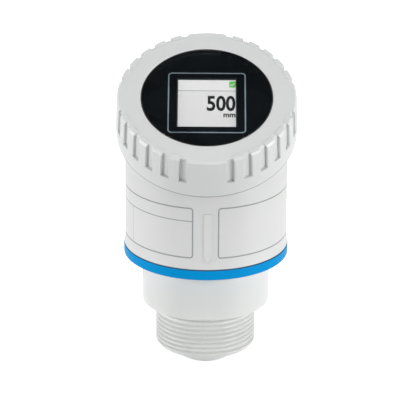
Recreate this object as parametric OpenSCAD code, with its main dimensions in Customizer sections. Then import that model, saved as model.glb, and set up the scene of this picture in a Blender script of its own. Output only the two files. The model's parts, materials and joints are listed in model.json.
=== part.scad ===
/* [Process connection] */
// Major diameter of the G 1-1/2 process thread
thread_d = 47.803; // [41:0.001:49]
// Length from the sealing shoulder to the end of the thread barrel
barrel_len = 23.6; // [20:0.1:30]
// Diameter of the undercut below the sealing shoulder
undercut_d = 43.8; // [40:0.1:45]
// Height of the undercut
undercut_h = 4; // [2.5:0.1:5]
// Step from the thread barrel's rim in to the antenna cone
lens_step = 0.3; // [0.3:0.1:2]
// Slope of the antenna cone above the horizontal
lens_angle = 35; // [20:1:36]
// Radius of the rounded antenna tip
tip_r = 23.5; // [3:0.5:24]
// Radius of the thread barrel's lower rim
barrel_edge = 3.8; // [0.6:0.1:4]
// Diameter of the shroud above the sealing shoulder
shroud_d = 61.4; // [56:0.2:64]
// Height of the shroud from the sealing shoulder to the accent ring
shroud_h = 24.45; // [20:0.05:32]
// Draw of the shroud from the accent ring down to the sealing shoulder
shroud_draw = 0.3; // [0:0.05:0.6]
// Outer diameter of the spigot that enters the housing
spigot_d = 53.2; // [51:0.1:54]
// Height of the spigot above the flange
spigot_h = 6.8; // [5:0.1:8]
// Wall of the spigot round the cavity
spigot_wall = 3.1; // [2.6:0.1:3.4]
// Width of the land that carries the horn, between the cavity and the horn's bore
horn_land = 5; // [4.4:0.1:6]
// Thickness of the antenna base under the horn
lens_base_t = 2.6; // [2:0.1:4]

/* [Accent ring] */
// Step of the accent ring outside the housing
ring_step = 0.7; // [0.3:0.1:2]
// Wall of the accent ring round the flange
ring_wall = 3.35; // [2.5:0.05:4.5]
// Height of the accent ring
ring_h = 4.9; // [3:0.05:6]
// Shadow gap between the ring and the housing
ring_gap = 0.35; // [0.2:0.05:0.8]
// Thickness of the ring's inward lip
ring_lip_t = 1; // [0.8:0.1:1.5]
// Width of the ring's inward lip under the flange
ring_lip_w = 2.45; // [1.5:0.05:4]

/* [Housing] */
// Outer diameter of the upright housing barrel
housing_d = 77.2; // [76:0.1:78]
// Wall thickness of the housing
wall = 3.4; // [3.2:0.1:3.8]
// Step from the barrel out to the edge of its flared foot
foot_step = 0.5; // [0.1:0.05:0.6]
// Height of the flared foot
foot_h = 7; // [4:0.5:10]
// Thickness of the housing floor
floor_t = 4.5; // [3.5:0.1:6]
// Height above the sealing shoulder at which the tilted axis leaves the upright one
knee_z = 79; // [77:0.5:86]
// Forward tilt of the neck and the cover
tilt = 28; // [20:1:30]
// Bend radius at the front of the knee
bend_r = 6; // [4:0.5:9]
// Distance from the knee to the cover's rim, along the tilted axis
seam_z = 9.7; // [6:0.05:11]
// Gap between the cover's rim and the housing shoulder
seam_gap = 0.35; // [0.3:0.05:0.8]
// Step from the barrel in to the crests of the neck's thread band
neck_step = 0.8; // [0.6:0.05:1.1]
// Height of the neck above the cover's rim
neck_h = 11.9; // [10:0.1:12.5]
// Height of the carrier ledge above the cover's rim
ledge_h = 4.3; // [3.6:0.05:5.6]
// Thickness of the carrier ledge
ledge_t = 2.5; // [2:0.1:3.5]
// Radial width of the carrier ledge
ledge_w = 1.8; // [1.2:0.1:2.4]
// Radius of the bosses under the carrier
boss_r = 3.2; // [2.8:0.1:3.6]
// Length of the bosses under the carrier
boss_len = 8; // [7:0.5:10]

/* [Marker rib] */
// Width of the alignment rib on the front of the barrel
rib_w = 4.7; // [3:0.1:6]
// Height of the rib's square top end
rib_top = 57.5; // [50:0.5:60]
// Height of the rib's pointed lower end
rib_tip = 32.8; // [32:0.1:40]
// Length of the rib's point
rib_point = 3; // [2:0.5:5]
// Height of the rib above the barrel
rib_rise = 0.5; // [0.3:0.1:0.6]
// Turn of the rib from the front
rib_turn = 1.9; // [-5:0.1:5]

/* [Cover] */
// Height of the cover
cover_h = 22.5; // [21.5:0.05:25.5]
// Wall of the cover at its rim
cover_wall = 4.6; // [2.9:0.1:5]
// Largest diameter of the cover
cover_belly_d = 85.6; // [84.6:0.1:88]
// Draw of the cover's outside from its largest radius to the top edge
top_draw = 0.8; // [0:0.1:1]
// Height of the largest diameter above the rim
belly_h = 4.5; // [3:0.05:9.5]
// Length of the grip blocks from the top face down
grip_h = 14; // [12:0.1:15]
// Depth of the notches between the grip blocks
grip_depth = 1.4; // [1:0.1:1.5]
// Width of a narrow grip block
pad_w = 5.2; // [4:0.1:6]
// Angle from one grip block to the next
pad_pitch = 12; // [11:0.5:12.5]
// Narrow grip blocks between two wide ones
pads_between = 5; // [3:1:5]
// Radial reach of a grip block onto the top face
pad_reach = 3.1; // [2:0.1:4]
// Rise of a narrow grip block over the top face
pad_rise = 0.25; // [0.1:0.05:0.4]
// Bevel on the upright edges of a grip block
pad_bevel = 0.5; // [0.3:0.1:0.8]
// Bevel round the outer edge of the top face
top_bevel = 0.8; // [0.4:0.1:1.2]
// Thickness of the cover's top wall
top_wall = 2.6; // [2.2:0.1:3]
// Wall behind the grip notches
grip_wall = 1.4; // [1.2:0.1:1.8]
// Radial clearance of the cover over the neck
thread_gap = 0.3; // [0.3:0.05:0.4]
// Height of the threaded band inside the cover
band_h = 12.5; // [12:0.1:13]

/* [Window] */
// Diameter of the window opening
window_d = 62; // [60:0.1:63]
// Bevel round the window opening
window_bevel = 0.4; // [0.2:0.1:0.6]
// Depth of the window below the top face
window_recess = 0.35; // [0.2:0.05:0.6]
// Thickness of the lip that holds the window
lip_t = 1.2; // [1:0.1:1.4]
// Width of the window's flange under the lip
window_flange = 2.5; // [2:0.1:3]
// Thickness of the window's flange
window_flange_t = 1.4; // [1:0.1:1.8]
// Thickness of the gasket under the lip
gasket_t = 0.4; // [0.3:0.05:0.6]
// Width of the gasket round the window
gasket_w = 0.55; // [0.4:0.05:0.8]
// Thickness of the black mask under the window
mask_t = 0.25; // [0.2:0.05:0.4]
// Thickness of the retaining ring
retainer_t = 1.8; // [1.4:0.1:2.2]
// Width of the retaining ring
retainer_w = 2; // [1.6:0.1:2.4]
// Wall of the window pocket
pocket_wall = 1.75; // [1.5:0.05:2]
// Clearance between pieces that sit in one another
fit = 0.05; // [0.03:0.01:0.08]

/* [Seals] */
// Height of the cover seal's groove above the rim
seal_z = 1.5; // [1.2:0.1:2.5]
// Height of the cover seal's groove
seal_h = 2.4; // [2.2:0.1:2.6]
// Section of the cover seal's ring
seal_section = 1.85; // [1.6:0.05:1.9]
// Height of the body seal's groove above the flange
body_seal_z = 1.2; // [1:0.1:1.8]
// Section of the body seal's ring
body_seal_section = 1.9; // [1.5:0.1:2]
// Radial clearance of a ring seal in its groove
seal_gap = 0.1; // [0.05:0.01:0.1]

/* [Display] */
// Offset of the display from the window's centre, towards the front
display_shift = 1.9; // [1.6:0.1:5]
// Width of the display's active area
active_w = 27; // [24:0.5:28]
// Length of the display's active area
active_l = 30; // [26:0.5:31]
// Margin of the mask round the active area
mask_margin = 0.6; // [0.3:0.1:1]
// Margin of the display panel round the active area
panel_margin = 1.9; // [1.5:0.1:2.2]
// Thickness of the display panel
panel_t = 2.3; // [1.8:0.1:3]
// Wall of the display frame
frame_wall = 1.5; // [1.2:0.1:1.8]
// Thickness of the frame's lip over the panel
frame_lip = 0.4; // [0.3:0.05:0.6]
// Gap between the display frame and the turning mask
turn_gap = 0.35; // [0.3:0.05:0.8]
// Width of the board's screw tabs beside the display frame
display_tab = 5.55; // [5:0.05:6.2]
// Distance between the display's screws along the board
display_screw_y = 24; // [20:0.5:28]
// Radius of the posts under the display's board
post_r = 2.6; // [2.2:0.1:2.8]
// Thickness of the carrier plate
carrier_t = 2.2; // [1.8:0.1:3]
// Height of the carrier's rim above its plate
carrier_rim = 2.2; // [1:0.1:2.6]
// Thickness of the carrier's rim
carrier_rim_t = 1.4; // [1:0.1:1.8]

/* [Electronics] */
// Thickness of the circuit boards
board_t = 1.6; // [1.2:0.1:2]
// Gap between the round boards and the housing
board_gap = 0.8; // [0.5:0.1:1.5]
// Height of the spacers under the supply board
spacer_h = 4.5; // [4:0.1:5]
// Height of the spacers between the two round boards
stack_gap = 8.6; // [8:0.1:9]
// Width across flats of a spacer
spacer_af = 5.5; // [5:0.1:6]
// Length of the ribbon sockets
socket_w = 12; // [10:0.5:14]
// Depth of the ribbon sockets
socket_d = 4; // [3:0.1:5]
// Height of the ribbon sockets
socket_h = 2; // [1.5:0.1:2.5]
// Width of the flat ribbons
ribbon_w = 9; // [7:0.5:10]
// Thickness of the flat ribbons
ribbon_t = 0.3; // [0.2:0.05:0.4]
// Side of the converter's core
core_w = 14; // [12:0.5:15]
// Depth of the converter's core
core_l = 12; // [9:0.5:13]
// Height of the converter's core
core_h = 7.4; // [6:0.1:7.8]
// Diameter of a capacitor
capacitor_d = 8; // [6:0.2:8.6]
// Height of a capacitor
capacitor_h = 7.6; // [5:0.1:8]
// Width of the header between the two boards
stack_header_w = 22; // [14:1:26]
// Depth of the header between the two boards
stack_header_l = 5; // [4:0.2:6]
// Side of the controller
main_chip_w = 14; // [10:0.5:15]
// Thickness of the controller
main_chip_t = 1.4; // [1:0.1:2]
// Width of the radio module
radio_w = 16; // [12:0.5:17]
// Depth of the radio module
radio_l = 12; // [9:0.5:13]
// Height of the radio module's can
radio_h = 1.5; // [1:0.1:2.5]
// Height of the wire header
header_h = 7; // [5:0.5:8]
// Distance between two wires in the header
header_pitch = 2.6; // [2.3:0.1:2.9]

/* [Radar front end] */
// Height of the horn's seat above the sealing shoulder
horn_seat = 2.5; // [1.5:0.1:4]
// Thickness of the horn's flange
horn_flange_t = 2.5; // [2:0.1:3.5]
// Wall of the horn at its mouth
horn_wall = 1.4; // [1:0.1:2]
// Diameter of the waveguide throat
throat_d = 3.6; // [2.4:0.1:4]
// Side of the radar chip
chip_w = 5; // [4:0.1:5.6]
// Thickness of the radar chip
chip_t = 0.9; // [0.7:0.05:1]
// Height of the screening can
can_h = 3.2; // [2.6:0.1:5]
// Sheet thickness of the screening can
can_t = 0.4; // [0.3:0.05:0.6]

/* [Screws] */
// Number of screws between the housing and the process body
body_screw_count = 6; // [4:1:8]
// Shank diameter of the body screws
body_screw_d = 3.2; // [2.8:0.1:3.4]
// Diameter of a body screw's head
body_screw_head = 6; // [5.6:0.1:6.4]
// Depth of the body screws in the process body
body_screw_grip = 3; // [2.4:0.1:3.2]
// Shank diameter of the small screws
small_screw_d = 2; // [1.6:0.1:2.2]
// Depth of the small screws in their bosses
small_screw_grip = 5; // [3:0.1:6]

/* [M12 plug] */
// Height of the plug's axis above the sealing shoulder
plug_z = 62; // [61.5:0.1:64]
// Rim of the flat boss round the plug's collar
plug_boss_rim = 2; // [1.8:0.1:2.5]
// Rise of the boss outside the barrel
plug_boss_rise = 1.6; // [1:0.1:3]
// Depth of the boss inside the barrel
plug_boss_in = 3.6; // [2.8:0.1:4.5]
// Nominal diameter of the plug's thread
plug_thread_d = 12; // [11.6:0.1:12.4]
// Length of the plug's thread
plug_thread_len = 10.5; // [9:0.1:12]
// Width across flats of the plug's collar and nut
plug_af = 19; // [18.6:0.1:20]
// Thickness of the plug's collar
plug_collar_t = 3; // [2.5:0.1:4]
// Thickness of the plug's nut
plug_nut_t = 4; // [3:0.1:5]
// Step from the plug's thread out to its shank
plug_shank_step = 0.6; // [0.4:0.05:0.7]
// Wall of the plug shell inside its thread
plug_wall = 1.1; // [1:0.05:1.4]
// Depth of the open socket in front of the insert
plug_socket_depth = 9; // [7:0.1:10]
// Section of the plug's ring seal
plug_seal_section = 1.3; // [1:0.1:1.4]
// Diameter of a contact pin
pin_d = 1; // [0.8:0.1:1.2]
// Pitch circle diameter of the contact pins
pin_pcd = 4.8; // [4.4:0.1:5.2]
// Diameter of a wire
wire_d = 1.2; // [1:0.1:1.4]

/* [Hidden] */

$fn = 96;
// overshoot of a cut past the face that it opens
cut = 1;
// overlap of pieces that are moulded as one
weld = 0.4;

grey = [0.84, 0.84, 0.83];
pvdf = [0.86, 0.86, 0.85];
blue = [0.0, 0.5, 0.84];
black = [0.06, 0.07, 0.08];
rubber = [0.12, 0.12, 0.13];
green = [0.05, 0.3, 0.16];
steel = [0.72, 0.72, 0.74];
nickel = [0.68, 0.67, 0.64];
gold = [0.83, 0.66, 0.3];
amber = [0.75, 0.42, 0.1];
glass = [0.2, 0.24, 0.28, 0.35];

thread_r = thread_d / 2;
shroud_r = shroud_d / 2;
shroud_foot_r = shroud_r - shroud_draw;
housing_r = housing_d / 2;
bore_r = housing_r - wall;
neck_r = housing_r - neck_step;
ring_r = housing_r + ring_step;
flange_r = ring_r - ring_wall;
ring_lip_r = flange_r - ring_lip_w;
spigot_r = spigot_d / 2;
spigot_hole_r = spigot_r + 3 * fit;
floor_land = bore_r - spigot_hole_r;
cavity_r = spigot_r - spigot_wall;
horn_bore_r = cavity_r - horn_land;
horn_screw_radius = (cavity_r + horn_bore_r) / 2;
lens_r = thread_r - barrel_edge - lens_step;
body_screw_radius = bore_r - floor_land / 2;
spacer_radius = body_screw_radius;
cover_bore_r = neck_r + thread_gap;
cover_rim_r = cover_bore_r + cover_wall;
cover_belly_r = cover_belly_d / 2;
cover_top_r = cover_belly_r - top_draw;
plug_shank_d = plug_thread_d + 2 * plug_shank_step;
plug_bore_d = plug_thread_d - 2 * plug_wall;
plug_boss_d = plug_af + 2 * plug_boss_rim;

// heights up the upright axis
flange_z = shroud_h + ring_lip_t + fit;
base_z = shroud_h + ring_h + ring_gap;
floor_z = base_z + floor_t;
supply_z = floor_z + spacer_h;
supply_top = supply_z + board_t;
main_z = supply_top + stack_gap;
main_top = main_z + board_t;
horn_top = horn_seat + horn_flange_t;
radar_top = horn_top + board_t;
lens_top = -barrel_len + lens_base_t;

// bend between the upright barrel and the tilted neck
elbow_r = housing_r + bend_r;
elbow_rise = elbow_r * tan(tilt / 2);
// the bend is this much slimmer than the barrel and the neck that it joins
elbow_step = 0.06;
// length by which the straight lengths run into the bend
elbow_lap = 0.3;

// heights up the tilted axis, from the knee
shoulder_z = seam_z - seam_gap;
neck_top = seam_z + neck_h;
ledge_z = seam_z + ledge_h;
carrier_top = ledge_z + carrier_t;

// heights inside the cover, from its rim
lip_z = cover_h - lip_t;
window_flange_z = lip_z - gasket_t;
window_z = window_flange_z - window_flange_t;
mask_z = window_z - mask_t;
retainer_z = mask_z - retainer_t;
window_r = window_d / 2;
window_flange_r = window_r + window_flange;
pocket_r = window_flange_r + 3 * fit;
shelf_z = cover_h - grip_h;

// display stack, up the tilted axis
frame_top = seam_z + mask_z - turn_gap;
panel_top = frame_top - frame_lip;
display_top = panel_top - panel_t;
display_z = display_top - board_t;
panel_w = active_w + 2 * panel_margin;
panel_l = active_l + 2 * panel_margin;
frame_w = panel_w + 2 * fit + 2 * frame_wall;
frame_l = panel_l + 2 * fit + 2 * frame_wall;
display_board_w = frame_w + 2 * display_tab;
display_screw_x = frame_w + display_tab;

carrier_boss_radius = bore_r - boss_r + weld;
carrier_boss_angles = [30, 150, 270];
spacer_angles = [30, 150, 210, 330];
board_r = bore_r - board_gap;
screw_hole_gap = 0.1;

// the plug's own axis runs out of the back of the barrel
plug_face_y = housing_r + plug_boss_rise;
plug_inner_y = bore_r - plug_boss_in;
plug_boss_len = plug_face_y - plug_inner_y;
plug_back = plug_boss_len + plug_nut_t + 1.5;
plug_front = plug_collar_t + plug_thread_len;
insert_front = plug_front - plug_socket_depth;
pin_back = plug_back + 3;
pin_front = plug_front - 1.2;
header_y = board_r * 0.29;
ribbon_x = -board_r * 0.465;
radar_socket_y = -cavity_r * 0.72;
supply_socket_y = -cavity_r * 0.55;
main_socket_y = -socket_d;
display_socket_y = socket_d / 2;

// radius of the cover's outside at height z above its rim
function cover_r(z) = z < belly_h
    ? cover_rim_r + (cover_belly_r - cover_rim_r) * sin(90 * z / belly_h)
    : cover_belly_r - top_draw * (z - belly_h) / (cover_h - belly_h);

// points of an arc from angle a to angle b
function arc(x, y, r, a, b, steps = 6) =
    [for (i = [0:steps]) [x + r * cos(a + (b - a) * i / steps), y + r * sin(a + (b - a) * i / steps)]];

// a cubic curve through four control points
function bezier(p, steps = 12) = [
    for (i = [0:steps])
        let (t = i / steps, s = 1 - t)
            s * s * s * p[0] + 3 * s * s * t * p[1] + 3 * s * t * t * p[2] + t * t * t * p[3]
];

// y and z of a point that is given in the tilted frame
function from_tilted(y, z) = [y * cos(tilt) - z * sin(tilt), knee_z + y * sin(tilt) + z * cos(tilt)];

module tilted() {
    translate([0, 0, knee_z])
        rotate([tilt, 0, 0])
            children();
}

module in_cover() {
    tilted()
        translate([0, 0, seam_z])
            children();
}

// z runs out of the plug, from the face of its boss
module at_plug() {
    translate([0, plug_face_y, plug_z])
        rotate([-90, 0, 0])
            children();
}

// a profile in y and z, drawn out along x
module along_x(width) {
    rotate([90, 0, 90])
        linear_extrude(height = width, center = true)
            children();
}

module around(radius, angles) {
    for (a = angles)
        rotate([0, 0, a])
            translate([radius, 0, 0])
                children();
}

module tube(outer, inner, height) {
    difference() {
        cylinder(r = outer, h = height);
        translate([0, 0, -cut])
            cylinder(r = inner, h = height + 2 * cut);
    }
}

module ring_seal(radius, section) {
    rotate_extrude()
        translate([radius, 0])
            circle(d = section, $fn = 32);
}

module hex(af, height) {
    cylinder(r = af / 2 / cos(30), h = height, $fn = 6);
}

// a plain box centred on its own axis
module block(width, length, height) {
    translate([-width / 2, -length / 2, 0])
        cube([width, length, height]);
}

// pan-head screw: its head stands on z = 0 and its shank runs down
module screw(shank_d, length, head_d, head_h) {
    difference() {
        union() {
            translate([0, 0, -length])
                cylinder(d = shank_d, h = length + head_h / 2, $fn = 24);
            rotate_extrude($fn = 32)
                polygon([[0, 0], [head_d / 2, 0], [head_d / 2, head_h * 0.6],
                         [head_d * 0.36, head_h], [0, head_h]]);
        }
        translate([0, 0, head_h * 0.45])
            cylinder(d = head_d * 0.42, h = head_h, $fn = 6);
    }
}

module small_screw() {
    screw(small_screw_d, board_t + small_screw_grip, 3.8, 1.1);
}

// a flat ribbon that follows a cubic curve in y and z
module ribbon(x, points) {
    path = bezier(points);
    last = len(path) - 1;
    sides = [
        for (i = [0:last])
            let (d = path[min(i + 1, last)] - path[max(i - 1, 0)])
                [-d[1], d[0]] / norm(d) * ribbon_t / 2
    ];
    translate([x, 0, 0])
        along_x(ribbon_w)
            polygon(concat([for (i = [0:last]) path[i] + sides[i]],
                           [for (i = [last:-1:0]) path[i] - sides[i]]));
}

// a round wire that follows a cubic curve in space
module wire(points, diameter, sides = 8) {
    path = bezier(points, 11);
    last = len(path) - 1;
    rings = [
        for (i = [0:last])
            let (d = path[min(i + 1, last)] - path[max(i - 1, 0)],
                 u = cross(d, [1, 0, 0]) / norm(cross(d, [1, 0, 0])),
                 v = cross(d, u) / norm(cross(d, u)))
                for (k = [0:sides - 1])
                    path[i] + diameter / 2 * (cos(360 * k / sides) * u + sin(360 * k / sides) * v)
    ];
    skin = [
        for (i = [0:last - 1])
            for (k = [0:sides - 1])
                let (n = (k + 1) % sides)
                    [i * sides + k, (i + 1) * sides + k, (i + 1) * sides + n, i * sides + n]
    ];
    polyhedron(rings, concat([[for (k = [0:sides - 1]) k]],
                             [[for (k = [sides - 1:-1:0]) last * sides + k]], skin));
}

// upright barrel, smooth knee and tilted neck of one radius, from height z up
module barrel_form(radius, z, neck_end) {
    translate([0, 0, z])
        cylinder(r = radius, h = knee_z - elbow_rise + elbow_lap - z);
    translate([0, -elbow_r, knee_z - elbow_rise])
        rotate([90, 0, 90])
            rotate_extrude(angle = tilt)
                translate([elbow_r, 0])
                    circle(r = radius - elbow_step);
    tilted()
        translate([0, 0, elbow_rise - elbow_lap])
            cylinder(r = radius, h = neck_end - elbow_rise + elbow_lap);
}

// arrow-shaped rib that marks the front of the barrel
module marker_rib() {
    rotate([0, 0, rib_turn])
        intersection() {
            translate([0, -bore_r, 0])
                rotate([90, 0, 0])
                    linear_extrude(height = wall + rib_rise + cut)
                        polygon([[-rib_w / 2, rib_top], [-rib_w / 2, rib_tip + rib_point], [0, rib_tip],
                                 [rib_w / 2, rib_tip + rib_point], [rib_w / 2, rib_top]]);
            translate([0, 0, rib_tip])
                tube(housing_r + rib_rise, housing_r - weld, rib_top - rib_tip);
        }
}

// everything above the shoulder that lies outside the threaded neck
module neck_cut() {
    tilted() {
        translate([0, 0, shoulder_z])
            tube(housing_r + 3 * bend_r, neck_r, 4 * neck_h);
        translate([0, 0, neck_top - cut])
            rotate_extrude()
                polygon([[neck_r, 0], [neck_r + cut, 0], [neck_r + cut, 2 * cut], [neck_r - cut, 2 * cut]]);
    }
}

// outside of the barrel's foot, which widens towards the accent ring
module barrel_foot() {
    translate([0, 0, base_z])
        rotate_extrude()
            polygon(concat(
                [[housing_r - weld, foot_h], [housing_r - weld, 0]],
                [for (i = [0:6]) [housing_r + foot_step * pow(1 - i / 6, 2), foot_h * i / 6]]));
}

module housing() {
    color(grey)
    difference() {
        union() {
            difference() {
                union() {
                    barrel_form(housing_r, base_z, neck_top);
                    barrel_foot();
                    translate([0, plug_face_y - plug_boss_rise - weld, plug_z])
                        rotate([-90, 0, 0])
                            cylinder(d = plug_boss_d, h = plug_boss_rise + weld);
                    marker_rib();
                }
                barrel_form(bore_r, floor_z, neck_top + cut);
                neck_cut();
            }
            // boss inside the back wall, cut to the barrel's outside by its own length
            translate([0, plug_inner_y, plug_z])
                rotate([-90, 0, 0])
                    cylinder(d = plug_boss_d, h = plug_boss_in + wall / 2);
            // ledge and bosses that carry the display
            tilted() {
                translate([0, 0, ledge_z - ledge_t])
                    tube(bore_r + weld, bore_r - ledge_w, ledge_t);
                // the bosses end just under the ledge's top, on which the carrier rests
                around(carrier_boss_radius, carrier_boss_angles)
                    translate([0, 0, ledge_z - boss_len])
                        cylinder(r = boss_r, h = boss_len - screw_hole_gap);
            }
        }
        // hole for the spigot
        translate([0, 0, base_z - cut])
            cylinder(r = spigot_hole_r, h = floor_t + 2 * cut);
        around(body_screw_radius, [for (i = [0:body_screw_count - 1]) 360 * i / body_screw_count])
            translate([0, 0, base_z - cut])
                cylinder(d = body_screw_d + 2 * screw_hole_gap, h = floor_t + 2 * cut, $fn = 24);
        around(spacer_radius, spacer_angles)
            translate([0, 0, floor_z - floor_t * 0.75])
                cylinder(d = small_screw_d + 2 * screw_hole_gap, h = floor_t, $fn = 24);
        tilted()
            around(carrier_boss_radius, carrier_boss_angles)
                translate([0, 0, ledge_z - small_screw_grip - cut])
                    cylinder(d = small_screw_d + 2 * screw_hole_gap, h = small_screw_grip + 2 * cut, $fn = 24);
        translate([0, plug_inner_y - cut, plug_z])
            rotate([-90, 0, 0])
                cylinder(d = plug_shank_d + 2 * screw_hole_gap, h = plug_boss_len + 2 * cut);
    }
}

module accent_ring() {
    bevel = ring_h / 8;
    color(blue)
    translate([0, 0, shroud_h])
        rotate_extrude()
            polygon(concat(
                [[ring_lip_r, 0]],
                arc(ring_r - bevel, bevel, bevel, -90, 0),
                arc(ring_r - bevel, ring_h - bevel, bevel, 0, 90),
                [[flange_r + fit, ring_h], [flange_r + fit, ring_lip_t], [ring_lip_r, ring_lip_t]]));
}

module process_body() {
    // the cone's flank starts where the round tip ends
    flank_r = tip_r * sin(lens_angle);
    flank_h = (lens_r - flank_r) * tan(lens_angle);
    tip_z = -barrel_len - flank_h - tip_r * (1 - cos(lens_angle));
    groove_r = spigot_hole_r - body_seal_section - 2 * seal_gap;
    color(pvdf)
    difference() {
        rotate_extrude()
            polygon(concat(
                [[0, lens_top], [0, tip_z]],
                arc(0, tip_z + tip_r, tip_r, -90 + lens_angle / 9, -90 + lens_angle, 8),
                [[lens_r, -barrel_len]],
                arc(thread_r - barrel_edge, -barrel_len + barrel_edge, barrel_edge, -90, 0, 9),
                [[thread_r, -undercut_h], [undercut_d / 2, -undercut_h + (thread_r - undercut_d / 2) / 2],
                 [undercut_d / 2, 0], [shroud_foot_r - ring_gap, 0], [shroud_foot_r, ring_gap],
                 [shroud_r, flange_z], [flange_r, flange_z], [flange_r, base_z],
                 [spigot_r, base_z], [spigot_r, base_z + body_seal_z],
                 [groove_r, base_z + body_seal_z],
                 [groove_r, base_z + body_seal_z + body_seal_section + 2 * seal_gap],
                 [spigot_r, base_z + body_seal_z + body_seal_section + 2 * seal_gap],
                 [spigot_r, base_z + spigot_h], [cavity_r, base_z + spigot_h],
                 [cavity_r, horn_seat], [horn_bore_r, horn_seat], [horn_bore_r, lens_top]]));
        around(body_screw_radius, [for (i = [0:body_screw_count - 1]) 360 * i / body_screw_count])
            translate([0, 0, base_z - body_screw_grip - screw_hole_gap])
                cylinder(d = body_screw_d + 2 * screw_hole_gap, h = body_screw_grip + cut, $fn = 24);
    }
}

module body_oring() {
    color(rubber)
    translate([0, 0, base_z + body_seal_z + body_seal_section / 2 + seal_gap])
        ring_seal(spigot_hole_r - seal_gap - body_seal_section / 2, body_seal_section);
}

module body_screws() {
    color(steel)
    around(body_screw_radius, [for (i = [0:body_screw_count - 1]) 360 * i / body_screw_count])
        translate([0, 0, floor_z])
            screw(body_screw_d, floor_t + body_screw_grip, body_screw_head, body_screw_d * 0.75);
}

module horn() {
    mouth_z = lens_top + fit;
    pocket_z = horn_top - chip_t - 0.3;
    color([0.8, 0.8, 0.81])
    difference() {
        rotate_extrude()
            polygon([[throat_d / 2, pocket_z - cut], [throat_d / 2, pocket_z], [chip_w, pocket_z],
                     [chip_w, horn_top], [cavity_r - 3 * fit, horn_top],
                     [cavity_r - 3 * fit, horn_seat], [horn_bore_r - 3 * fit, horn_seat],
                     [horn_bore_r - 3 * fit, mouth_z], [horn_bore_r - 3 * fit - horn_wall, mouth_z]]);
        around(horn_screw_radius, [60, 180, 300])
            translate([0, 0, horn_seat - cut])
                cylinder(d = small_screw_d + 2 * screw_hole_gap, h = horn_flange_t + 2 * cut, $fn = 24);
    }
}

module radar_chip() {
    color([0.1, 0.1, 0.11])
    translate([0, 0, horn_top - chip_t])
        block(chip_w, chip_w, chip_t);
}

module radar_board() {
    color(green)
    translate([0, 0, horn_top])
        difference() {
            cylinder(r = cavity_r - 3 * fit, h = board_t);
            around(horn_screw_radius, [60, 180, 300])
                translate([0, 0, -cut])
                    cylinder(d = small_screw_d + 2 * screw_hole_gap, h = board_t + 2 * cut, $fn = 24);
        }
}

module radar_screws() {
    color(steel)
    around(horn_screw_radius, [60, 180, 300])
        translate([0, 0, radar_top])
            screw(small_screw_d, board_t + horn_flange_t - 0.2, 3.8, 1.1);
}

module radar_shield() {
    can_w = 2 * socket_w;
    can_l = 1.5 * socket_w;
    color(steel)
    translate([0, 0, radar_top])
        difference() {
            block(can_w, can_l, can_h);
            translate([0, 0, -cut])
                block(can_w - 2 * can_t, can_l - 2 * can_t, can_h - can_t + cut);
            for (x = [-can_w / 3:can_w / 6:can_w / 3])
                for (y = [-can_l / 4, can_l / 4])
                    translate([x, y, 0])
                        cylinder(d = 1.4, h = can_h + cut, $fn = 16);
        }
}

module radar_ribbon() {
    low = radar_top + socket_h;
    high = supply_z - socket_h;
    reach = (high - low) / 2;
    color(amber)
    ribbon(0, [[radar_socket_y, low], [radar_socket_y, low + reach],
               [supply_socket_y, high - reach], [supply_socket_y, high]]);
}

module round_board(z) {
    translate([0, 0, z])
        difference() {
            cylinder(r = board_r, h = board_t);
            around(spacer_radius, spacer_angles)
                translate([0, 0, -cut])
                    cylinder(d = small_screw_d + 2 * screw_hole_gap, h = board_t + 2 * cut, $fn = 24);
            // flat edge at the back, clear of the plug
            translate([0, board_r + plug_inner_y - plug_nut_t, -cut])
                block(2 * board_r, 2 * board_r, board_t + 2 * cut);
        }
}

module supply_board() {
    color(green)
    round_board(supply_z);
}

module transformer() {
    leg = core_w / 6;
    color([0.2, 0.2, 0.21])
    translate([-board_r * 0.35, board_r * 0.35, supply_top])
        union() {
            difference() {
                block(core_w, core_l, core_h);
                translate([0, 0, leg])
                    block(core_w - 2 * leg, core_l + 2 * cut, core_h - 2 * leg);
            }
            translate([0, 0, leg - weld])
                cylinder(d = core_w - 2.5 * leg, h = core_h - 2 * leg + 2 * weld);
        }
}

module capacitors() {
    can_r = capacitor_d / 2;
    crimp = can_r / 10;
    color([0.75, 0.76, 0.78])
    for (x = [1, 2.1])
        translate([capacitor_d * x, board_r * 0.3, supply_top])
            rotate_extrude($fn = 48)
                polygon([[0, 0], [can_r, 0], [can_r, 2 * crimp], [can_r - crimp, 3 * crimp], [can_r, 4 * crimp],
                         [can_r, capacitor_h - crimp], [can_r - crimp, capacitor_h], [0, capacitor_h]]);
}

module stack_header() {
    color([0.09, 0.09, 0.1])
    translate([0, -board_r * 0.7, supply_top])
        block(stack_header_w, stack_header_l, stack_gap);
}

module spacers(z, height) {
    around(spacer_radius, spacer_angles)
        translate([0, 0, z])
            difference() {
                hex(spacer_af, height);
                translate([0, 0, -cut])
                    cylinder(d = small_screw_d + 2 * screw_hole_gap, h = height + 2 * cut, $fn = 24);
            }
}

module base_spacers() {
    color(nickel)
    spacers(floor_z, spacer_h);
}

module stack_spacers() {
    color(nickel)
    spacers(supply_top, stack_gap);
}

module main_board() {
    color(green)
    round_board(main_z);
}

module board_screws() {
    length = main_top - floor_z + floor_t / 2;
    color(steel)
    around(spacer_radius, spacer_angles)
        translate([0, 0, main_top])
            screw(small_screw_d, length, 3.8, 1.1);
}

module main_chip() {
    color([0.08, 0.08, 0.09])
    translate([board_r * 0.41, -board_r * 0.17, main_top])
        difference() {
            block(main_chip_w, main_chip_w, main_chip_t);
            translate([-main_chip_w * 0.38, main_chip_w * 0.38, main_chip_t * 0.85])
                cylinder(d = main_chip_w / 12, h = cut, $fn = 24);
        }
}

module radio_module() {
    color(steel)
    translate([0, -board_r * 0.61, main_top])
        union() {
            block(radio_w, radio_l, board_t / 2);
            translate([-radio_w / 8, 0, board_t / 2])
                block(radio_w * 0.66, radio_l * 0.84, radio_h);
        }
}

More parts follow.
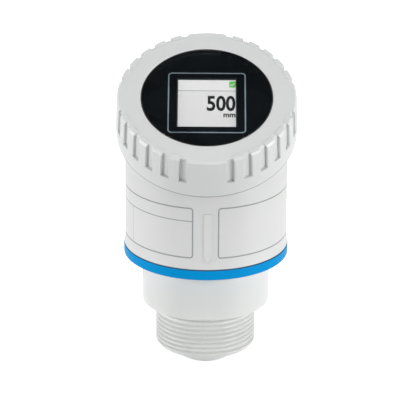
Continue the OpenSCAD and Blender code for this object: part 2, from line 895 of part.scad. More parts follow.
module wire_header() {
    color([0.9, 0.9, 0.86])
    translate([0, header_y, main_top])
        difference() {
            block(4.6 * header_pitch, 2.3 * header_pitch, header_h);
            for (i = [0:3])
                translate([header_pitch * (i - 1.5), 0, header_h - 2])
                    cylinder(d = wire_d * 1.3, h = 2 + cut, $fn = 24);
        }
}

module flex_sockets() {
    color([0.16, 0.14, 0.12]) {
        translate([0, radar_socket_y, radar_top])
            block(socket_w, socket_d, socket_h);
        translate([0, supply_socket_y, supply_z - socket_h])
            block(socket_w, socket_d, socket_h);
        translate([ribbon_x, main_socket_y, main_top])
            block(socket_w, socket_d, socket_h);
        tilted()
            translate([ribbon_x, display_socket_y, display_z - socket_h])
                block(socket_w, socket_d, socket_h);
    }
}

module plug_shell() {
    seal_r = plug_shank_d / 2 + 2 * screw_hole_gap + plug_seal_section / 2;
    color(nickel)
    at_plug()
        difference() {
            union() {
                hex(plug_af, plug_collar_t);
                translate([0, 0, -plug_back])
                    cylinder(d = plug_shank_d, h = plug_back + cut);
                cylinder(d = plug_thread_d, h = plug_front - 0.5);
                translate([0, 0, plug_front - 0.5])
                    cylinder(d1 = plug_thread_d, d2 = plug_thread_d - 1, h = 0.5);
            }
            translate([0, 0, -plug_back - cut])
                cylinder(d = plug_bore_d, h = plug_back + plug_front + 2 * cut);
            translate([0, 0, -cut])
                tube(seal_r + plug_seal_section / 2 + seal_gap, plug_shank_d / 2 + screw_hole_gap,
                     cut + plug_seal_section);
        }
}

module plug_oring() {
    seal_r = plug_shank_d / 2 + 2 * screw_hole_gap + plug_seal_section / 2;
    color(rubber)
    at_plug()
        translate([0, 0, plug_seal_section / 2])
            ring_seal(seal_r, plug_seal_section - fit);
}

module plug_nut() {
    color(nickel)
    at_plug()
        translate([0, 0, -plug_boss_len - plug_nut_t])
            difference() {
                hex(plug_af, plug_nut_t);
                translate([0, 0, -cut])
                    cylinder(d = plug_shank_d + 2 * fit, h = plug_nut_t + 2 * cut);
            }
}

module plug_insert() {
    color([0.07, 0.07, 0.08])
    at_plug()
        difference() {
            union() {
                translate([0, 0, -plug_back])
                    cylinder(d = plug_bore_d - 2 * fit, h = plug_back + insert_front);
                // coding key along the socket wall
                translate([0, plug_bore_d / 2 - 0.9, insert_front - cut])
                    block(1.4, 1, plug_socket_depth - 2 + cut);
            }
            around(pin_pcd / 2, [45, 135, 225, 315])
                translate([0, 0, -plug_back - cut])
                    cylinder(d = pin_d + 2 * fit, h = plug_back + insert_front + 2 * cut, $fn = 24);
        }
}

module plug_pins() {
    color(gold)
    at_plug()
        around(pin_pcd / 2, [45, 135, 225, 315]) {
            translate([0, 0, -pin_back])
                cylinder(d = pin_d, h = pin_back + pin_front - pin_d / 2, $fn = 24);
            translate([0, 0, pin_front - pin_d / 2])
                cylinder(d1 = pin_d, d2 = pin_d / 2, h = pin_d / 2, $fn = 24);
        }
}

module plug_wires() {
    back_y = plug_face_y - pin_back - fit;
    rise = pin_pcd / 2 * sin(45);
    ends = [[-rise, rise], [-rise, -rise], [rise, -rise], [rise, rise]];
    top = main_top + header_h - 2 + fit;
    color([0.55, 0.3, 0.15])
    for (i = [0:3])
        let (x = header_pitch * (i - 1.5), lift = i == 0 || i == 3 ? 1 : 0)
            wire([[ends[i][0], back_y, plug_z + ends[i][1]],
                  [ends[i][0], back_y - 6 - 3 * lift, plug_z + ends[i][1]],
                  [x, header_y, top + 8 + 3 * lift],
                  [x, header_y, top]], wire_d);
}

module carrier_posts() {
    for (x = [-display_screw_x / 2, display_screw_x / 2])
        for (y = [-display_screw_y / 2, display_screw_y / 2])
            translate([x, y - display_shift, 0])
                children();
}

module display_carrier() {
    slot_w = socket_w + 2;
    slot_l = socket_d + 4;
    color([0.8, 0.8, 0.79])
    tilted()
        difference() {
            union() {
                translate([0, 0, ledge_z])
                    cylinder(r = bore_r - 3 * fit, h = carrier_t);
                translate([0, 0, carrier_top - weld])
                    tube(bore_r - 3 * fit, bore_r - 3 * fit - carrier_rim_t, carrier_rim + weld);
                carrier_posts()
                    translate([0, 0, carrier_top - weld])
                        cylinder(r = post_r, h = display_z - carrier_top + weld);
            }
            translate([ribbon_x, display_socket_y, ledge_z - cut])
                block(slot_w, slot_l, carrier_t + 2 * cut);
            carrier_posts()
                translate([0, 0, display_z - small_screw_grip - cut])
                    cylinder(d = small_screw_d + 2 * screw_hole_gap, h = small_screw_grip + 2 * cut, $fn = 24);
            around(carrier_boss_radius, carrier_boss_angles) {
                translate([0, 0, ledge_z - cut])
                    cylinder(d = small_screw_d + 2 * screw_hole_gap, h = carrier_t + 2 * cut, $fn = 24);
                // room for the screw's head beside the rim
                translate([0, 0, carrier_top])
                    cylinder(d = 4.2, h = carrier_rim + cut, $fn = 32);
            }
        }
}

module carrier_screws() {
    color(steel)
    tilted()
        around(carrier_boss_radius, carrier_boss_angles)
            translate([0, 0, carrier_top])
                screw(small_screw_d, carrier_t + small_screw_grip, 3.8, 1.1);
}

module display_board() {
    color(green)
    tilted()
        difference() {
            translate([0, -display_shift, display_z])
                block(display_board_w, frame_l, board_t);
            carrier_posts()
                translate([0, 0, display_z - cut])
                    cylinder(d = small_screw_d + 2 * screw_hole_gap, h = board_t + 2 * cut, $fn = 24);
        }
}

module display_screws() {
    color(steel)
    tilted()
        carrier_posts()
            translate([0, 0, display_top])
                small_screw();
}

module display_panel() {
    color([0.86, 0.87, 0.87])
    tilted()
        translate([0, -display_shift, display_top])
            block(panel_w, panel_l, panel_t);
}

module display_frame() {
    color(black)
    tilted()
        translate([0, -display_shift, display_top])
            difference() {
                block(frame_w, frame_l, frame_top - display_top);
                translate([0, 0, -cut])
                    block(panel_w + 2 * fit, panel_l + 2 * fit, panel_t + cut);
                translate([0, 0, -cut])
                    block(active_w, active_l, frame_top - display_top + 2 * cut);
            }
}

module display_ribbon() {
    start = from_tilted(display_socket_y, display_z - socket_h - fit);
    pull = from_tilted(display_socket_y, ledge_z - carrier_t) - start;
    end = [main_socket_y, main_top + socket_h + fit];
    color(amber)
    ribbon(ribbon_x, [start, start + pull, end + [0, norm(pull)], end]);
}

module cover_oring() {
    color(rubber)
    in_cover()
        translate([0, 0, seal_z + seal_h / 2])
            ring_seal(neck_r + seal_gap + seal_section / 2, seal_section);
}

// outlines of the grip blocks: one wide block and its narrow neighbours in each quarter
module grip_outline(inner, outer, wide) {
    narrow_angles = [for (i = [0:pads_between - 1]) 45 + pad_pitch * (i - (pads_between - 1) / 2)];
    first = 45 - pad_pitch * (pads_between - 1) / 2;
    notch = pad_pitch - 2 * asin(pad_w / 2 / outer);
    wide_w = 2 * outer * sin(first - asin(pad_w / 2 / outer) - notch);
    width = wide ? wide_w : pad_w;
    for (quarter = [0:90:270])
        for (a = wide ? [0] : narrow_angles)
            rotate([0, 0, quarter + a])
                polygon([[inner, -width / 2], [outer - pad_bevel, -width / 2],
                         [outer + cut, -width / 2 + pad_bevel + cut],
                         [outer + cut, width / 2 - pad_bevel - cut],
                         [outer - pad_bevel, width / 2], [inner, width / 2]]);
}

// ring of the cover's outer form, as deep as the grip blocks are long
module grip_ring(rise) {
    rotate_extrude()
        polygon([[cover_top_r - pad_reach, shelf_z], [cover_r(shelf_z), shelf_z],
                 [cover_top_r, cover_h - top_bevel], [cover_top_r - top_bevel, cover_h + rise],
                 [cover_top_r - pad_reach, cover_h + rise]]);
}

module grip_blocks(rise, wide) {
    foot_r = cover_r(shelf_z);
    intersection() {
        grip_ring(rise);
        translate([0, 0, shelf_z - cut])
            linear_extrude(height = grip_h + 3 * cut, scale = cover_top_r / foot_r)
                grip_outline(cover_top_r - pad_reach - cut, foot_r, wide);
    }
}

module cover() {
    floor_low = cover_r(shelf_z) - grip_depth;
    floor_high = cover_top_r - grip_depth;
    inner_r = floor_high - grip_wall;
    groove_r = neck_r + seal_section + 2 * seal_gap;
    ceiling = cover_h - top_wall;
    rib_r = pocket_r + pocket_wall;
    color(grey)
    in_cover()
        union() {
            rotate_extrude()
                polygon(concat(
                    [[cover_bore_r, 0]],
                    [for (i = [0:6]) [cover_r(belly_h * i / 6), belly_h * i / 6]],
                    [[cover_r(shelf_z), shelf_z], [floor_low, shelf_z]],
                    arc(floor_high - top_bevel, cover_h - top_bevel, top_bevel, 0, 90),
                    [[window_r + window_bevel, cover_h], [window_r, cover_h - window_bevel],
                     [window_r, lip_z], [pocket_r, lip_z], [pocket_r, retainer_z - fit],
                     [rib_r, retainer_z - fit], [rib_r, ceiling], [inner_r, ceiling], [inner_r, band_h + cut],
                     [cover_bore_r, band_h], [cover_bore_r, seal_z + seal_h], [groove_r, seal_z + seal_h],
                     [groove_r, seal_z], [cover_bore_r, seal_z]]));
            grip_blocks(0, true);
            grip_blocks(pad_rise, false);
        }
}

module window() {
    glass_r = window_r - gasket_w - fit;
    color(glass)
    in_cover()
        rotate_extrude()
            polygon([[0, window_z], [window_flange_r, window_z], [window_flange_r, window_flange_z],
                     [glass_r, window_flange_z], [glass_r, cover_h - window_recess], [0, cover_h - window_recess]]);
}

module window_gasket() {
    color(rubber)
    in_cover()
        rotate_extrude()
            polygon([[window_r - gasket_w, window_flange_z], [window_flange_r, window_flange_z],
                     [window_flange_r, lip_z], [window_r - fit, lip_z],
                     [window_r - fit, cover_h - window_recess - 0.1],
                     [window_r - gasket_w, cover_h - window_recess - 0.1]]);
}

module window_mask() {
    color(black)
    in_cover()
        difference() {
            translate([0, 0, mask_z])
                cylinder(r = window_flange_r - fit, h = mask_t);
            translate([0, -display_shift, mask_z - cut])
                block(active_w + 2 * mask_margin, active_l + 2 * mask_margin, mask_t + 2 * cut);
        }
}

module window_retainer() {
    color([0.2, 0.2, 0.2])
    in_cover()
        translate([0, 0, retainer_z])
            tube(pocket_r - fit, pocket_r - fit - retainer_w, retainer_t);
}

housing();
accent_ring();
process_body();
body_oring();
body_screws();
horn();
radar_chip();
radar_board();
radar_screws();
radar_shield();
radar_ribbon();
supply_board();
transformer();
capacitors();
stack_header();
base_spacers();
main_board();
stack_spacers();
board_screws();
main_chip();
radio_module();
wire_header();
flex_sockets();
plug_shell();
plug_oring();
plug_nut();
plug_insert();
plug_pins();
plug_wires();
display_carrier();
carrier_screws();
display_board();
display_screws();
display_panel();
display_frame();
display_ribbon();
cover_oring();
cover();
window();
window_gasket();
window_mask();
window_retainer();
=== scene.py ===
import json
import math

import bpy
from mathutils import Matrix, Vector

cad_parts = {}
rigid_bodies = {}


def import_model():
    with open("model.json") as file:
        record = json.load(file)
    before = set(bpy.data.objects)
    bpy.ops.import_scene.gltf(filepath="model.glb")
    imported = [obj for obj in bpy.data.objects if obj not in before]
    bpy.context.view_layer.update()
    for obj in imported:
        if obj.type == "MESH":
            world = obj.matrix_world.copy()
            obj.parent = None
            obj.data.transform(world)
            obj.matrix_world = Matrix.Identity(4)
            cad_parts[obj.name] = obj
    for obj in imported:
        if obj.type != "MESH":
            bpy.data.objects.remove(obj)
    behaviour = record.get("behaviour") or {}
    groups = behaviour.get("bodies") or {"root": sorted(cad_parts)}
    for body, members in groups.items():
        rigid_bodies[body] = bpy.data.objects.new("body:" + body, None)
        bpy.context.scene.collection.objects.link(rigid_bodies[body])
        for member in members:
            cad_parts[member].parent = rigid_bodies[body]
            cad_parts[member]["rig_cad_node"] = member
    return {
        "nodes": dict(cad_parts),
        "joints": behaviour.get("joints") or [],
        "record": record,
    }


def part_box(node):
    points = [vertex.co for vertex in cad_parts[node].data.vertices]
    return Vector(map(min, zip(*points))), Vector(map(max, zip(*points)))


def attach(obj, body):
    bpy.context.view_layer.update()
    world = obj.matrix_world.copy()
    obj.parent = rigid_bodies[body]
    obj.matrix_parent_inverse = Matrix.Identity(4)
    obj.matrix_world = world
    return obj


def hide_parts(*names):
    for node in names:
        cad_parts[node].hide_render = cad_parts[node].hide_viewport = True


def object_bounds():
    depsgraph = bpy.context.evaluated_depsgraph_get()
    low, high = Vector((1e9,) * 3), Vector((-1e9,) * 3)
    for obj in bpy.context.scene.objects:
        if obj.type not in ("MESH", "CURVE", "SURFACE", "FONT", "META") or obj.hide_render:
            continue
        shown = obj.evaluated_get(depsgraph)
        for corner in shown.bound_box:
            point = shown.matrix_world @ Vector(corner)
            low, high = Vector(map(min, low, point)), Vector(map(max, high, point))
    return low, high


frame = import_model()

cadBox = [list(corner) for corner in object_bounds()]
mm = 0.001
nodes = frame["nodes"]
slotOf = {part["node"]: part["material_slot"] for part in frame["record"]["subparts"]}
bodyOf = {node: body for body, members in frame["record"]["behaviour"]["bodies"].items() for node in members}

# the cover's own frame: z runs up the tilted axis, from the knee
coverTurn = next(joint for joint in frame["joints"] if joint["name"] == "cover_turn")
coverAxis = Vector(coverTurn["axis"])
coverLean = math.atan2(-coverAxis.y, coverAxis.z)
tiltedFrame = Matrix.Translation(Vector(coverTurn["pos_m"])) @ Matrix.Rotation(coverLean, 4, "X")

# the plug's own frame: z runs out of the plug, from its tip
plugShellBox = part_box("plug_shell")
plugCentre = (plugShellBox[0] + plugShellBox[1]) / 2
plugFrame = (Matrix.Translation((plugCentre.x, plugShellBox[1].y, plugCentre.z))
             @ Matrix.Rotation(math.radians(-90), 4, "X"))


def tiltedBox(node):
    # the lowest and highest corner of a node in the cover's frame
    toFrame = tiltedFrame.inverted()
    points = [toFrame @ vertex.co for vertex in nodes[node].data.vertices]
    low = [min(point[i] for point in points) for i in range(3)]
    high = [max(point[i] for point in points) for i in range(3)]
    return low, high


coverFoot = tiltedBox("cover")[0][2]
panelLow, panelHigh = tiltedBox("display_panel")
panelMiddle = (panelLow[1] + panelHigh[1]) / 2
screenSize = {"width": 28.2, "height": 31.2}  # the part of the display that the mask lets show
# x runs across the screen, y up it and z out of it
screen = {
    "right": screenSize["width"] / 2 * mm,
    "bottom": panelMiddle - screenSize["height"] / 2 * mm,
    "top": panelMiddle + screenSize["height"] / 2 * mm,
    "face": panelHigh[2],
}
print("frame loaded,", len(nodes), "nodes")


# small helpers for modelling

def deselectAll():
    if bpy.context.object and bpy.context.object.mode != "OBJECT":
        bpy.ops.object.mode_set(mode="OBJECT")
    bpy.ops.object.select_all(action="DESELECT")


def selectOnly(piece):
    deselectAll()
    piece.select_set(True)
    bpy.context.view_layer.objects.active = piece


def settle(piece, place=None):
    # puts the piece where place says and leaves its object unturned at the origin
    if place is not None:
        piece.matrix_world = place @ piece.matrix_world
    selectOnly(piece)
    bpy.ops.object.transform_apply(location=True, rotation=True, scale=True)


def smooth(piece, degrees=30):
    selectOnly(piece)
    bpy.ops.object.shade_smooth_by_angle(angle=math.radians(degrees))


def mergePoints(piece, mergeBy, turnOutwards=False):
    selectOnly(piece)
    bpy.ops.object.mode_set(mode="EDIT")
    bpy.ops.mesh.select_all(action="SELECT")
    bpy.ops.mesh.remove_doubles(threshold=mergeBy)
    if turnOutwards:
        bpy.ops.mesh.normals_make_consistent(inside=False)
    bpy.ops.object.mode_set(mode="OBJECT")


def selectWhere(piece, test):
    # leaves the piece in edit mode with the chosen points selected
    bpy.ops.object.mode_set(mode="EDIT")
    bpy.ops.mesh.select_mode(type="VERT")
    bpy.ops.mesh.select_all(action="DESELECT")
    bpy.ops.object.mode_set(mode="OBJECT")
    for vertex in piece.data.vertices:
        vertex.select = bool(test(vertex.co))
    bpy.ops.object.mode_set(mode="EDIT")


def cutAcross(point, normal):
    # adds an edge loop where a plane crosses the whole active piece
    bpy.ops.object.mode_set(mode="EDIT")
    bpy.ops.mesh.select_mode(type="VERT")
    bpy.ops.mesh.select_all(action="SELECT")
    bpy.ops.mesh.bisect(plane_co=point, plane_no=normal, use_fill=False)
    bpy.ops.object.mode_set(mode="OBJECT")


def newSquare():
    deselectAll()
    bpy.ops.mesh.primitive_plane_add(size=1, location=(0, 0, 0))
    return bpy.context.object


def finish(piece, name, node, material):
    # the piece moves with the body of its node and stands in the same slot
    piece.name = name
    piece.data.name = name
    piece.data.materials.clear()
    piece.data.materials.append(material)
    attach(piece, bodyOf[node])


# small helpers for materials

def put(tree, kind, **settings):
    node = tree.nodes.new("ShaderNode" + kind)
    for key, value in settings.items():
        setattr(node, key, value)
    return node


def feed(tree, socket, value):
    # value is another node's output, a plain value, or None to leave the socket as it is
    if value is None:
        return
    if isinstance(value, bpy.types.NodeSocket):
        tree.links.new(value, socket)
    else:
        socket.default_value = value


def calc(tree, operation, first, second=None, third=None, clamp=False):
    node = put(tree, "Math", operation=operation, use_clamp=clamp)
    for socket, value in zip(node.inputs, (first, second, third)):
        feed(tree, socket, value)
    return node.outputs[0]


def apart(tree, first, second):
    # how far two values lie from each other
    return calc(tree, "ABSOLUTE", calc(tree, "SUBTRACT", first, second))


def diagonal(tree, across, along):
    # the straight way that two steps at right angles make
    squares = [calc(tree, "MULTIPLY", side, side) for side in (across, along)]
    return calc(tree, "SQRT", calc(tree, "ADD", *squares))


def blendColours(tree, share, first, second):
    node = put(tree, "Mix", data_type="RGBA")
    feed(tree, node.inputs[0], share)
    feed(tree, node.inputs[6], first)
    feed(tree, node.inputs[7], second)
    return node.outputs[2]


def ramp(tree, value, low, high, start=0.0, end=1.0, soft=False):
    node = put(tree, "MapRange", interpolation_type="SMOOTHSTEP" if soft else "LINEAR")
    feed(tree, node.inputs["Value"], value)
    feed(tree, node.inputs["From Min"], low)
    feed(tree, node.inputs["From Max"], high)
    feed(tree, node.inputs["To Min"], start)
    feed(tree, node.inputs["To Max"], end)
    return node.outputs["Result"]


def noise(tree, coordinates, scale, detail=2.0, roughness=0.5):
    node = put(tree, "TexNoise")
    tree.links.new(coordinates, node.inputs["Vector"])
    feed(tree, node.inputs["Scale"], scale)
    feed(tree, node.inputs["Detail"], detail)
    feed(tree, node.inputs["Roughness"], roughness)
    return node.outputs[0]


def objectPlace(tree, frameMatrix=None):
    # the point on the surface, in a frame of its own where one is given
    place = put(tree, "TexCoord").outputs["Object"]
    if frameMatrix is None:
        return place
    # a Texture mapping goes the other way round: it takes the frame off the point
    mapping = put(tree, "Mapping", vector_type="TEXTURE")
    tree.links.new(place, mapping.inputs["Vector"])
    mapping.inputs["Location"].default_value = frameMatrix.to_translation()
    mapping.inputs["Rotation"].default_value = frameMatrix.to_euler()
    return mapping.outputs[0]


def splitAxes(tree, place):
    split = put(tree, "SeparateXYZ")
    tree.links.new(place, split.inputs[0])
    return split.outputs


def rgb(red, green, blue):
    # colours are written as a paint program shows them, 0 to 255
    def linear(level):
        level /= 255
        return level / 12.92 if level <= 0.04045 else ((level + 0.055) / 1.055) ** 2.4
    return (linear(red), linear(green), linear(blue), 1)


def shade(colour, factor, lift=0.0):
    return tuple(min(1, level * factor + lift) for level in colour[:3]) + (1,)


def newGroup(name, inputs, outputs):
    group = bpy.data.node_groups.new(name, "ShaderNodeTree")
    for label, kind, value in inputs:
        socket = group.interface.new_socket(name=label, in_out="INPUT", socket_type="NodeSocket" + kind)
        socket.default_value = value
    for label, kind in outputs:
        group.interface.new_socket(name=label, in_out="OUTPUT", socket_type="NodeSocket" + kind)
    return group, group.nodes.new("NodeGroupInput").outputs, group.nodes.new("NodeGroupOutput").inputs


def useGroup(tree, group, **values):
    node = tree.nodes.new("ShaderNodeGroup")
    node.node_tree = group
    for label, value in values.items():
        feed(tree, node.inputs[label], value)
    return node.outputs


def startMaterial(name):
    material = bpy.data.materials.new(name)
    material.use_nodes = True
    tree = material.node_tree
    return material, tree, tree.nodes["Principled BSDF"]


# the studio: camera, lamps, surroundings and floor

# distances in metres
cameraSetup = {
    "lensMm": 257.5,
    "sensorMm": 36,
    "downDegrees": 21.1,
    "rollDegrees": 0.36,
    "distance": 1.3866,
    "asideBy": 0.00291,
    "aboveBy": -0.0465,
    "clipStart": 0.05,
    "clipEnd": 50,
}


def addCamera():
    setup = cameraSetup
    down = math.radians(setup["downDegrees"])
    forward = Vector((0, math.cos(down), -math.sin(down)))
    upward = Vector((0, math.sin(down), math.cos(down)))
    place = -forward * setup["distance"] - Vector((setup["asideBy"], 0, 0)) - upward * setup["aboveBy"]
    bpy.ops.object.camera_add(location=place)
    camera = bpy.context.object
    camera.name = "camera"
    camera.rotation_mode = "QUATERNION"
    roll = Matrix.Rotation(math.radians(setup["rollDegrees"]), 4, "Z")
    camera.rotation_quaternion = (Matrix.Rotation(math.pi / 2 - down, 4, "X") @ roll).to_quaternion()
    camera.data.lens = setup["lensMm"]
    camera.data.sensor_width = setup["sensorMm"]
    camera.data.clip_start = setup["clipStart"]
    camera.data.clip_end = setup["clipEnd"]
    bpy.context.scene.camera = camera


lampAim = (0, 0, 0.06)
lampSetup = {
    "sideLightLeft": {"place": (-0.9, -0.32, 0.2), "size": 0.4, "watts": 5.2},
    "sideLightRight": {"place": (0.85, -0.43, 0.2), "size": 0.4, "watts": 5.8},
    "topLight": {"place": (0, -0.3, 1.1), "size": 0.5, "watts": 5.5},
    "frontLight": {"place": (0, -1.3, 0.12), "size": 0.6, "watts": 0.35},
    "backLight": {"place": (0, 1.05, 0.5), "size": 0.5, "watts": 2.6},
}


def addLamps():
    for name, lamp in lampSetup.items():
        bpy.ops.object.light_add(type="AREA", location=lamp["place"])
        light = bpy.context.object
        light.name = name
        light.data.shape = "SQUARE"
        light.data.size = lamp["size"]
        light.data.energy = lamp["watts"]
        aim = Vector(lampAim) - Vector(lamp["place"])
        light.rotation_euler = aim.to_track_quat("-Z", "Y").to_euler()


worldSetup = {"ambient": 0.2, "walls": 1.0, "ceiling": 0.02, "ceilingFrom": 0.55, "ceilingFull": 0.9}


def addWorld():
    setup = worldSetup
    world = bpy.data.worlds.new("studioWorld")
    bpy.context.scene.world = world
    world.use_nodes = True
    tree = world.node_tree
    background = tree.nodes["Background"]
    background.inputs["Color"].default_value = (1, 1, 1, 1)
    path = put(tree, "LightPath").outputs
    # metal and glass see the white surroundings, but a dark ceiling straight above
    upward = splitAxes(tree, put(tree, "TexCoord").outputs["Generated"])["Z"]
    around = ramp(tree, upward, setup["ceilingFrom"], setup["ceilingFull"], setup["walls"], setup["ceiling"])
    shiny = calc(tree, "MAXIMUM", path["Is Glossy Ray"], path["Is Transmission Ray"])
    seen = calc(tree, "MAXIMUM", calc(tree, "MULTIPLY", shiny, around), path["Is Camera Ray"])
    # every other ray gets the even light of the room
    rest = calc(tree, "MULTIPLY", path["Is Diffuse Ray"], setup["ambient"])
    tree.links.new(calc(tree, "MAXIMUM", seen, rest), background.inputs["Strength"])
    bpy.context.scene.view_settings.view_transform = "Standard"


floorSetup = {
    "radius": 6,
    "below": 0.0002,
    "colour": 0.69,
    "glow": 0.73,
    "farGlow": 1.0,
    "farFrom": 0.35,
    "farFull": 1.3,
}


def makeFloorWhite():
    material, tree, shader = startMaterial("studioFloorWhite")
    tree.nodes.remove(shader)
    diffuse = put(tree, "BsdfDiffuse")
    diffuse.inputs["Color"].default_value = (floorSetup["colour"],) * 3 + (1,)
    glow = put(tree, "Emission")
    path = put(tree, "LightPath").outputs
    seen = calc(tree, "MAXIMUM", path["Is Camera Ray"], path["Is Glossy Ray"])
    # the lamps don't reach the far floor, so it glows a little more there
    away = put(tree, "VectorMath", operation="LENGTH")
    tree.links.new(objectPlace(tree), away.inputs[0])
    glowing = ramp(tree, away.outputs["Value"], floorSetup["farFrom"], floorSetup["farFull"],
                   floorSetup["glow"], floorSetup["farGlow"])
    tree.links.new(calc(tree, "MULTIPLY", seen, glowing), glow.inputs["Strength"])
    both = put(tree, "AddShader")
    tree.links.new(diffuse.outputs[0], both.inputs[0])
    tree.links.new(glow.outputs[0], both.inputs[1])
    tree.links.new(both.outputs[0], tree.nodes["Material Output"].inputs["Surface"])
    return material


def addFloor():
    deselectAll()
    bpy.ops.mesh.primitive_circle_add(vertices=96, radius=floorSetup["radius"], fill_type="NGON",
                                      location=(0, 0, cadBox[0][2] - floorSetup["below"]))
    floor = bpy.context.object
    floor.name = "studioFloor"
    settle(floor)
    floor.data.materials.append(makeFloorWhite())


# effects that several materials share

grainLooks = {"cloudDetail": 3.0, "detail": 2.0, "roughness": 0.6, "patchesPerCloud": 4.0}


def makeMouldedGrain():
    # the fine spark-eroded skin of moulded plastic, with a slow cloudiness in colour and sheen
    group, given, out = newGroup(
        "mouldedGrain",
        [("Colour", "Color", (0.8, 0.8, 0.8, 1)), ("Cloud", "Float", 0.03), ("CloudScale", "Float", 60.0),
         ("Sheen", "Float", 0.4), ("SheenSpread", "Float", 0.06), ("GrainScale", "Float", 3500.0)],
        [("Colour", "Color"), ("Roughness", "Float"), ("Height", "Float")])
    place = objectPlace(group)
    cloud = noise(group, place, given["CloudScale"], grainLooks["cloudDetail"])
    clouded = put(group, "VectorMath", operation="SCALE")
    group.links.new(given["Colour"], clouded.inputs[0])
    group.links.new(calc(group, "MULTIPLY_ADD", calc(group, "SUBTRACT", cloud, 0.5), given["Cloud"], 1.0),
                    clouded.inputs["Scale"])
    group.links.new(clouded.outputs[0], out["Colour"])
    grain = noise(group, place, given["GrainScale"], grainLooks["detail"], grainLooks["roughness"])
    patches = noise(group, place, calc(group, "MULTIPLY", given["CloudScale"], grainLooks["patchesPerCloud"]))
    # grain and patches count the same, and together swing about nought
    mixed = calc(group, "ADD", calc(group, "MULTIPLY", grain, 0.5), calc(group, "MULTIPLY", patches, 0.5))
    uneven = calc(group, "SUBTRACT", mixed, 0.5)
    group.links.new(calc(group, "MULTIPLY_ADD", uneven, given["SheenSpread"], given["Sheen"], clamp=True),
                    out["Roughness"])
    group.links.new(grain, out["Height"])
    return group


edgeHighlightLooks = {"edgeFrom": 0.52, "edgeFull": 0.58, "cornerFrom": 0.48, "cornerFull": 0.42, "scale": 900.0}


def makeEdgeHighlightAndWear():
    # painted highlight on the outer edges, partly standing for rubbed wear, and painted shade with a little
    # dirt in the corners
    group, given, out = newGroup(
        "edgeHighlightAndWear",
        [("Colour", "Color", (0.8, 0.8, 0.8, 1)), ("Rubbed", "Color", (0.9, 0.9, 0.9, 1)),
         ("Dirt", "Color", (0.3, 0.3, 0.3, 1)), ("Wear", "Float", 0.3), ("Grime", "Float", 0.2)],
        [("Colour", "Color")])
    bend = put(group, "NewGeometry").outputs["Pointiness"]
    broken = ramp(group, noise(group, objectPlace(group), edgeHighlightLooks["scale"], 3.0), 0.35, 0.65)
    edges = ramp(group, bend, edgeHighlightLooks["edgeFrom"], edgeHighlightLooks["edgeFull"])
    # painted edge highlight, partly rubbed wear, broken up by noise
    litWorn = calc(group, "MULTIPLY", calc(group, "MULTIPLY", edges, given["Wear"]), broken, clamp=True)
    # painted shade in the corners and hollows, together with a little dirt
    corners = ramp(group, bend, edgeHighlightLooks["cornerFrom"], edgeHighlightLooks["cornerFull"])
    inHollows = calc(group, "MULTIPLY", corners, given["Grime"], clamp=True)
    bright = blendColours(group, litWorn, given["Colour"], given["Rubbed"])
    group.links.new(blendColours(group, inHollows, bright, given["Dirt"]), out["Colour"])
    return group


turnedLooks = {"waverScale": 120.0, "shadeScale": 300.0}


def makeTurnedMarks():
    # fine rings round the z axis, as a lathe or a turned mould leaves them
    group, given, out = newGroup(
        "turnedMarks", [("Pitch", "Float", 0.0002), ("Waver", "Float", 0.3)],
        [("Height", "Float"), ("Shade", "Float")])
    place = objectPlace(group)
    at = splitAxes(group, place)
    along = calc(group, "ADD", diagonal(group, at["X"], at["Y"]), at["Z"])
    turns = calc(group, "DIVIDE", along, given["Pitch"])
    waver = calc(group, "MULTIPLY", noise(group, place, turnedLooks["waverScale"]), given["Waver"])
    wave = calc(group, "SINE", calc(group, "MULTIPLY", calc(group, "ADD", turns, waver), math.tau))
    group.links.new(calc(group, "MULTIPLY_ADD", wave, 0.5, 0.5), out["Height"])
    group.links.new(noise(group, place, turnedLooks["shadeScale"]), out["Shade"])
    return group


def makePrintedFrame():
    # a thin printed line round a rectangle with round corners; all lengths in metres
    group, given, out = newGroup(
        "printedFrame",
        [("Across", "Float", 0.0), ("Along", "Float", 0.0), ("CentreAcross", "Float", 0.0),
         ("CentreAlong", "Float", 0.0), ("Width", "Float", 0.02), ("Height", "Float", 0.02),
         ("Corner", "Float", 0.001), ("Line", "Float", 0.0005)],
        [("Line", "Float"), ("Inside", "Float")])

    def beyondStraight(position, centre, size):
        # how far a point lies past the straight part of a side
        straight = calc(group, "SUBTRACT", calc(group, "MULTIPLY", size, 0.5), given["Corner"])
        return calc(group, "SUBTRACT", apart(group, position, centre), straight)

    sideways = beyondStraight(given["Across"], given["CentreAcross"], given["Width"])
    upwards = beyondStraight(given["Along"], given["CentreAlong"], given["Height"])
    corner = diagonal(group, calc(group, "MAXIMUM", sideways, 0.0), calc(group, "MAXIMUM", upwards, 0.0))
    within = calc(group, "MINIMUM", calc(group, "MAXIMUM", sideways, upwards), 0.0)
    distance = calc(group, "SUBTRACT", calc(group, "ADD", corner, within), given["Corner"])
    # the line's edges are a little soft
    half = calc(group, "MULTIPLY", given["Line"], 0.5)
    outer = calc(group, "MULTIPLY", half, 1.25)
    inner = calc(group, "MULTIPLY", half, 0.75)
    group.links.new(ramp(group, calc(group, "ABSOLUTE", distance), outer, inner, soft=True), out["Line"])
    group.links.new(ramp(group, distance, half, 0.0, soft=True), out["Inside"])
    return group


mouldedGrain = makeMouldedGrain()
edgeHighlightAndWear = makeEdgeHighlightAndWear()
turnedMarks = makeTurnedMarks()
printedFrame = makePrintedFrame()
print("shared effects built")


def addBump(tree, shader, height, depth, roundness=0.0):
    # depth in metres; roundness softens hard edges in the same way as a small fillet
    bump = put(tree, "Bump")
    bump.inputs["Strength"].default_value = 1.0
    bump.inputs["Distance"].default_value = depth
    tree.links.new(height, bump.inputs["Height"])
    if roundness:
        fillet = put(tree, "Bevel", samples=6)
        fillet.inputs["Radius"].default_value = roundness
        tree.links.new(fillet.outputs[0], bump.inputs["Normal"])
    tree.links.new(bump.outputs[0], shader.inputs["Normal"])


